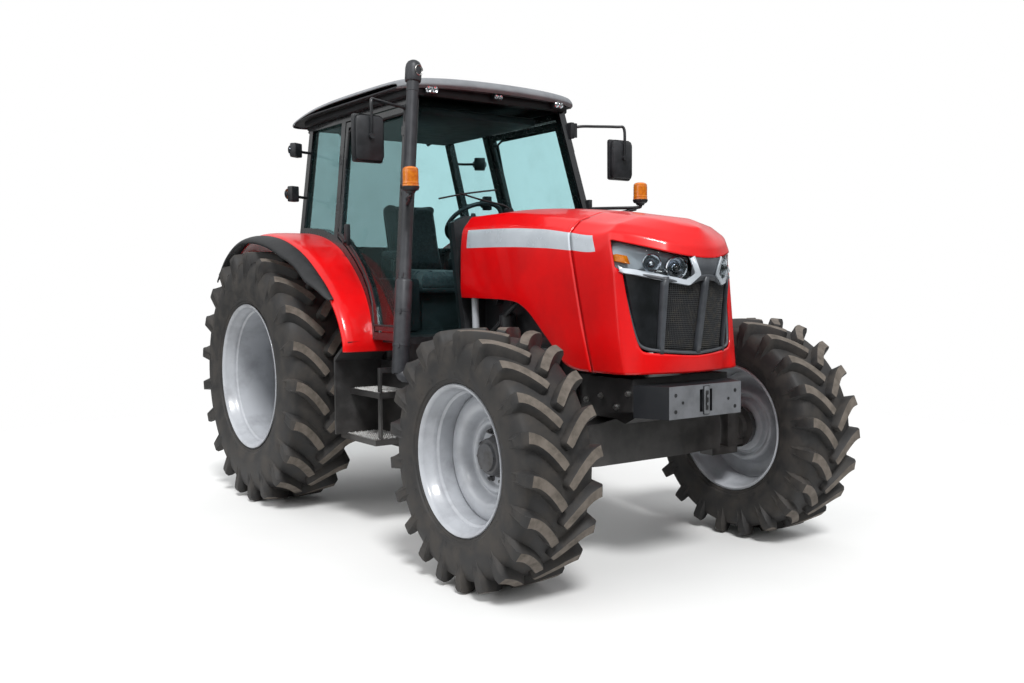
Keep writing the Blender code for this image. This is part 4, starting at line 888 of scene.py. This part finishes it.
addPipe("stackElbow", [[(-0.280, -0.700, 1.090), (-0.480, -0.700, 1.090), (-0.760, -0.690, 1.060),
                        (-0.900, -0.640, 0.985), tuple(stackFoot + stackUp * 0.03)]], 0.036,
        exhaustPaint, "chassis", steps=6, sides=20)
bm = bmesh.new()
addBox(bm, (-0.812, -0.470, 2.085), (-0.700, -0.435, 2.115), 0.004)
addBox(bm, (-0.730, -0.450, 2.080), (-0.690, -0.330, 2.120), 0.004)
for k in range(14):
    spot = stackFoot + stackUp * (0.06 + 0.034 * k) + Vector((0.046, 0.030, 0))
    addBox(bm, spot - Vector((0.020, 0.016, 0.004)), spot + Vector((0.020, 0.016, 0.004)), 0.001)
addPiece("stackGuard", bm, [blackPaint], "chassis", sharp=30)
print("outside fittings done")

# steps with gripping treads, and the front bracket's hardware
steps = {"inner": 0.665, "thickness": 0.035, "studsAcross": 13, "studsAlong": 19,
         # underside, front edge, rear edge, outer end
         "treads": [(0.545, -0.345, 0.120, 0.950), (0.830, -0.345, 0.035, 0.920)]}
for hand, side in hands:
    bm = bmesh.new()
    inner, across, along = steps["inner"], steps["studsAcross"], steps["studsAlong"]
    for low, y0, y1, outer in steps["treads"]:
        top = low + steps["thickness"]
        addSideBox(bm, side, (inner, y0 + 0.004, top - 0.002), (outer, y1 - 0.004, top + 0.003), 0.001)
        for i in range(across):
            for j in range(along):
                x = inner + 0.014 + (outer - inner - 0.028) * i / (across - 1)
                y = y0 + 0.018 + (y1 - y0 - 0.036) * (j + 0.5 * (i % 2)) / along
                addRod(bm, (side * x, y, top + 0.002), (side * x, y, top + 0.008), 0.006, 6, endRadius=0.0035)
    addPiece(f"stepTreads{hand.title()}", bm, [bareSteel], "chassis")
bm = bmesh.new()
for x in (-0.215, 0.215):
    for z in (0.872, 0.955):
        addRod(bm, (x, -2.1365, z), (x, -2.128, z), 0.010, 20, mat=1)
for x in (-0.165, 0.165):
    addRod(bm, (x, -2.1365, 0.915), (x, -2.128, 0.915), 0.008, 20, mat=1)
addBox(bm, (-0.022, -2.142, 0.846), (0.022, -2.134, 0.992), 0.003)
addBox(bm, (-0.010, -2.1455, 0.868), (0.010, -2.140, 0.968), 0.003, mat=1)
for z in (0.900, 0.940):
    addRod(bm, (0, -2.150, z), (0, -2.140, z), 0.009, 6)
sideBolts = [(-2.08, 0.955), (-2.02, 0.880), (-1.93, 0.955), (-1.84, 0.880), (-1.72, 0.93), (-1.60, 0.90)]
for side in (-1, 1):
    for y, z in sideBolts:
        x = 0.262 if y < -1.96 else 0.347
        addRod(bm, (side * (x - 0.004), y, z), (side * (x + 0.006), y, z), 0.016, 20, mat=2)
        addRod(bm, (side * (x + 0.004), y, z), (side * (x + 0.016), y, z), 0.0115, 6, mat=2)
addPiece("bracketHardware", bm, [bracketPaint, sealRubber, bareSteel], "chassis")

# what shows under the hood: filter, hoses, stay and brackets
bm = bmesh.new()
for side in (-1, 1):
    addRod(bm, (side * 0.385, -0.600, 1.10), (side * 0.385, -0.585, 1.55), 0.022, 20)
addPiece("hoodStays", bm, [wheelSilver], "chassis")
bm = bmesh.new()
addTurned(bm, [(-0.16, 0.0001), (-0.16, 0.080), (-0.15, 0.090), (0.12, 0.090), (0.13, 0.084), (0.14, 0.05),
               (0.15, 0.0001)], (-0.17, -0.90, 1.60), (0, 1, 0), 40)
for side in (-1, 1):
    addTurned(bm, [(-0.07, 0.0001), (-0.07, 0.045), (0.05, 0.050), (0.07, 0.030), (0.07, 0.0001)],
              (side * 0.335, -0.86, 1.28), (0, 0, 1), 32)
for side in (-1, 1):
    addSideBox(bm, side, (0.26, -1.30, 0.92), (0.345, -1.08, 1.16), 0.02)
    addSideBox(bm, side, (0.26, -1.02, 1.02), (0.320, -0.72, 1.16), 0.02)
    for k in range(5):
        addRod(bm, (side * 0.265, -1.34 + 0.16 * k, 1.42), (side * 0.315, -1.34 + 0.16 * k, 1.42), 0.028, 20)
addPiece("engineFittings", bm, [blackPaint], "chassis")
hoses = []
for side in (-1, 1):
    hoses += [[(side * 0.33, -1.36, 1.00), (side * 0.40, -1.30, 0.93), (side * 0.40, -1.05, 0.90),
               (side * 0.34, -0.85, 0.98)],
              [(side * 0.30, -1.00, 1.45), (side * 0.36, -0.92, 1.36), (side * 0.37, -0.76, 1.24),
               (side * 0.34, -0.58, 1.18)]]
addPipe("engineHoses", hoses, 0.013, sealRubber, "chassis", steps=6)
print("engine bay done")

# seat: two padded pieces on a suspension base
seats = {
    "seatPan": {"centre": (0, 0.545, 1.545), "half": (0.225, 0.255, 0.052), "tilt": 3},
    "seatBack": {"centre": (0, 0.825, 1.850), "half": (0.215, 0.058, 0.265), "tilt": -14},
    "armrestRight": {"centre": (-0.285, 0.560, 1.720), "half": (0.036, 0.170, 0.026), "tilt": 4},
    "armrestLeft": {"centre": (0.285, 0.560, 1.720), "half": (0.036, 0.170, 0.026), "tilt": 4},
}
padding = {"voxel": 0.008, "pressure": 4, "stiffness": 12, "frames": 20, "cap": 0.022, "fill": 0.8}
for name, seat in seats.items():
    bm = bmesh.new()
    half = Vector(seat["half"])
    addBox(bm, -half, half, min(half) * 0.62)
    place = Matrix.Translation(seat["centre"]) @ Matrix.Rotation(math.radians(seat["tilt"]), 4, "X")
    bm.transform(place)
    made = addPiece(name, bm, [seatCloth], "chassis",
                    ["seat_cushion"] if name == "seatPan" else [])
    remesh = made.modifiers.new("remesh", "REMESH")
    remesh.mode, remesh.voxel_size, remesh.use_smooth_shade = "VOXEL", padding["voxel"], True
    bpy.context.view_layer.update()
    depsgraph = bpy.context.evaluated_depsgraph_get()
    fine = bpy.data.meshes.new_from_object(made.evaluated_get(depsgraph))
    made.modifiers.clear()
    made.data = fine
    rest = [v.co.copy() for v in fine.vertices]
    cloth = made.modifiers.new("puff", "CLOTH")
    cloth.settings.use_pressure = True
    cloth.settings.uniform_pressure_force = padding["pressure"]
    cloth.settings.effector_weights.gravity = 0
    cloth.settings.tension_stiffness = padding["stiffness"]
    cloth.point_cache.frame_start, cloth.point_cache.frame_end = 1, padding["frames"]
    for step in range(1, padding["frames"] + 1):
        scene.frame_set(step)
    depsgraph = bpy.context.evaluated_depsgraph_get()
    puffed = bpy.data.meshes.new_from_object(made.evaluated_get(depsgraph))
    made.modifiers.clear()
    scene.frame_set(1)
    for vert, was in zip(puffed.vertices, rest):
        moved = vert.co - was
        if moved.length > padding["cap"]:
            vert.co = was + moved.normalized() * padding["cap"]
    made.data = puffed
    smoother = made.modifiers.new("smoother", "SUBSURF")
    smoother.levels = smoother.render_levels = 1
bm = bmesh.new()
for x in (-0.285, 0.285):
    addBox(bm, (x - 0.020, 0.70, 1.50), (x + 0.020, 0.76, 1.71), 0.008)
addBox(bm, (-0.225, 0.30, 1.455), (0.225, 0.80, 1.492), 0.012)
addBox(bm, (-0.190, 0.850, 1.60), (0.190, 0.885, 2.06), 0.014,
       turn=Matrix.Rotation(math.radians(seats["seatBack"]["tilt"]), 4, "X"))
for k in range(6):
    addBox(bm, (-0.19, 0.37, 1.225 + 0.036 * k), (0.19, 0.75, 1.247 + 0.036 * k), 0.006)
addPiece("seatFrame", bm, [blackPlastic], "chassis", sharp=30)
addPipe("seatSeams", [[(-0.14, 0.32, 1.607), (-0.14, 0.55, 1.612), (-0.14, 0.76, 1.600)],
                      [(0.14, 0.32, 1.607), (0.14, 0.55, 1.612), (0.14, 0.76, 1.600)]], 0.003, sealRubber,
        "chassis", steps=3)

# steering wheel, column, levers and dash
steering = {"centre": (0, 0, 1.93), "lean": -38, "radius": 0.195, "thickness": 0.0145, "facets": 14,
            "spokes": 3, "spokeReach": 0.190, "spokeRadius": 0.010}
bm = bmesh.new()
turns = [math.tau * k / steering["facets"] for k in range(steering["facets"] + 1)]
addTurned(bm, [(steering["thickness"] * math.sin(a), steering["radius"] + steering["thickness"] * math.cos(a))
               for a in turns], (0, 0, 0), (0, 0, 1), 64)
boss = [(-0.040, 0.0001), (-0.038, 0.040), (-0.012, 0.052), (0.010, 0.046), (0.016, 0.026), (0.017, 0.0001)]
addTurned(bm, boss, (0, 0, 0), (0, 0, 1), 32)
for k in range(steering["spokes"]):
    a = math.tau * k / steering["spokes"] + math.pi / 2
    reach = steering["spokeReach"]
    addRod(bm, (0.03 * math.cos(a), 0.03 * math.sin(a), -0.012),
           (reach * math.cos(a), reach * math.sin(a), 0), steering["spokeRadius"], 12)
bm.transform(Matrix.Translation(steering["centre"]) @ Matrix.Rotation(math.radians(steering["lean"]), 4, "X"))
addPiece("wheelRing", bm, [blackPlastic], "steering_wheel", ["steering_wheel"])
bm = bmesh.new()
addBox(bm, (-0.17, -0.33, 1.86), (0.17, -0.12, 1.925), 0.025)
for x in (-0.09, 0, 0.09):
    addTurned(bm, [(0.0, 0.036), (0.006, 0.034), (0.004, 0.028), (0.001, 0.0001)], (x, -0.145, 1.925),
              (0, 0.6, 0.8), 28, mat=1)
addBox(bm, (-0.56, 0.10, 1.20), (-0.36, 0.86, 1.56), 0.03)
addBox(bm, (0.40, 0.20, 1.20), (0.54, 0.80, 1.44), 0.03)
for x, y, top in ((-0.42, 0.20, 1.74), (-0.47, 0.28, 1.70), (-0.42, 0.36, 1.72), (-0.50, 0.18, 1.66),
                  (0.44, 0.28, 1.60), (0.13, -0.17, 1.96), (-0.13, -0.17, 1.96)):
    addRod(bm, (x, y, top - 0.20), (x, y - 0.02, top), 0.006, 12, mat=1)
    addTurned(bm, [(-0.022, 0.0001), (-0.020, 0.010), (0.0, 0.018), (0.016, 0.014), (0.020, 0.0001)],
              (x, y - 0.02, top), (0, 0, 1), 20)
addPiece("cabControls", bm, [blackPlastic, bareSteel], "chassis")
print("cab inside done")

# camera, floor and light
camera = bpy.data.objects.new("camera", bpy.data.cameras.new("camera"))
scene.collection.objects.link(camera)
view = {"place": (-3.8116, -5.7657, 1.5201), "yaw": 0.6206, "pitch": -0.0572, "roll": -0.0067,
        "lens": 35.75, "sensor": 36}
yaw, pitch, roll = view["yaw"], view["pitch"], view["roll"]
forward = Vector((math.sin(yaw) * math.cos(pitch), math.cos(yaw) * math.cos(pitch), math.sin(pitch)))
level = Vector((math.cos(yaw), -math.sin(yaw), 0))
above = level.cross(forward)
right = math.cos(roll) * level + math.sin(roll) * above
up = math.cos(roll) * above - math.sin(roll) * level
facing = Matrix((right, up, -forward)).transposed().to_4x4()
camera.matrix_world = Matrix.Translation(view["place"]) @ facing
camera.data.lens, camera.data.sensor_width = view["lens"], view["sensor"]
scene.camera = camera

ground = bpy.data.materials.new("ground")
ground.use_nodes = True
tree = ground.node_tree
shader = tree.nodes["Principled BSDF"]
place = addNode(tree, "TexCoord").outputs["Object"]
mottle = addNode(tree, "TexNoise", {"Scale": 0.8, "Detail": 5.0}, {"Vector": place})
tone = addNode(tree, "Mix", {"data_type": "RGBA", 6: linear("#E9E9E8"), 7: linear("#DCDCDB")},
               {0: mottle.outputs["Fac"]})
tree.links.new(tone.outputs[2], shader.inputs["Base Color"])
shader.inputs["Roughness"].default_value = 0.85
reach = addNode(tree, "VectorMath", {"operation": "LENGTH"}, {0: place})
fade = addNode(tree, "MapRange", {"From Min": 3.0, "From Max": 6.5}, {"Value": reach.outputs["Value"]})
clear = addNode(tree, "BsdfTransparent")
mixed = addNode(tree, "MixShader", links={0: fade.outputs["Result"], 1: shader.outputs[0],
                                          2: clear.outputs[0]})
tree.links.new(mixed.outputs[0], tree.nodes["Material Output"].inputs["Surface"])
bm = bmesh.new()
bmesh.ops.create_circle(bm, cap_ends=True, segments=64, radius=8)
mesh = bpy.data.meshes.new("floor")
bm.to_mesh(mesh)
bm.free()
mesh.materials.append(ground)
floor = bpy.data.objects.new("floor", mesh)
floor.location.z = -0.002
scene.collection.objects.link(floor)

lights = {"key": {"energy": 2.6, "angle": 14, "turn": (38, 8, -35)},
          "fill": {"energy": 0.9, "angle": 60, "turn": (62, 0, -95)}}
for name, light in lights.items():
    lamp = bpy.data.lights.new(name, "SUN")
    lamp.energy, lamp.angle = light["energy"], math.radians(light["angle"])
    holder = bpy.data.objects.new(name, lamp)
    holder.rotation_euler = [math.radians(a) for a in light["turn"]]
    scene.collection.objects.link(holder)

world = bpy.data.worlds.new("sky")
scene.world = world
world.use_nodes = True
tree = world.node_tree
back = tree.nodes["Background"]
way = addNode(tree, "TexCoord").outputs["Generated"]
height = addNode(tree, "SeparateXYZ", links={"Vector": way}).outputs["Z"]
clouds = addNode(tree, "TexNoise", {"Scale": 3.0, "Detail": 5.0}, {"Vector": way})
trees = addNode(tree, "Math", {"operation": "MULTIPLY_ADD", 1: -0.30}, {0: clouds.outputs["Fac"], 2: height})
lift = addNode(tree, "MapRange", {"From Min": -0.14, "From Max": 0.20}, {"Value": trees.outputs[0]})
skyTone = addNode(tree, "Mix", {"data_type": "RGBA", 6: linear("#DADDE0"), 7: linear("#FFFFFF")},
                  {0: clouds.outputs["Fac"]})
under = addNode(tree, "Mix", {"data_type": "RGBA", 6: linear("#4A4C48")},
                {0: lift.outputs["Result"], 7: skyTone.outputs[2]})
tree.links.new(under.outputs[2], back.inputs["Color"])
back.inputs["Strength"].default_value = 0.95
white = addNode(tree, "Background", {"Color": (1, 1, 1, 1), "Strength": 1.0})
ray = addNode(tree, "LightPath")
seen = addNode(tree, "MixShader", links={0: ray.outputs["Is Camera Ray"], 1: back.outputs[0],
                                         2: white.outputs[0]})
tree.links.new(seen.outputs[0], tree.nodes["World Output"].inputs["Surface"])
scene.view_settings.view_transform = "Standard"
print("stage done")
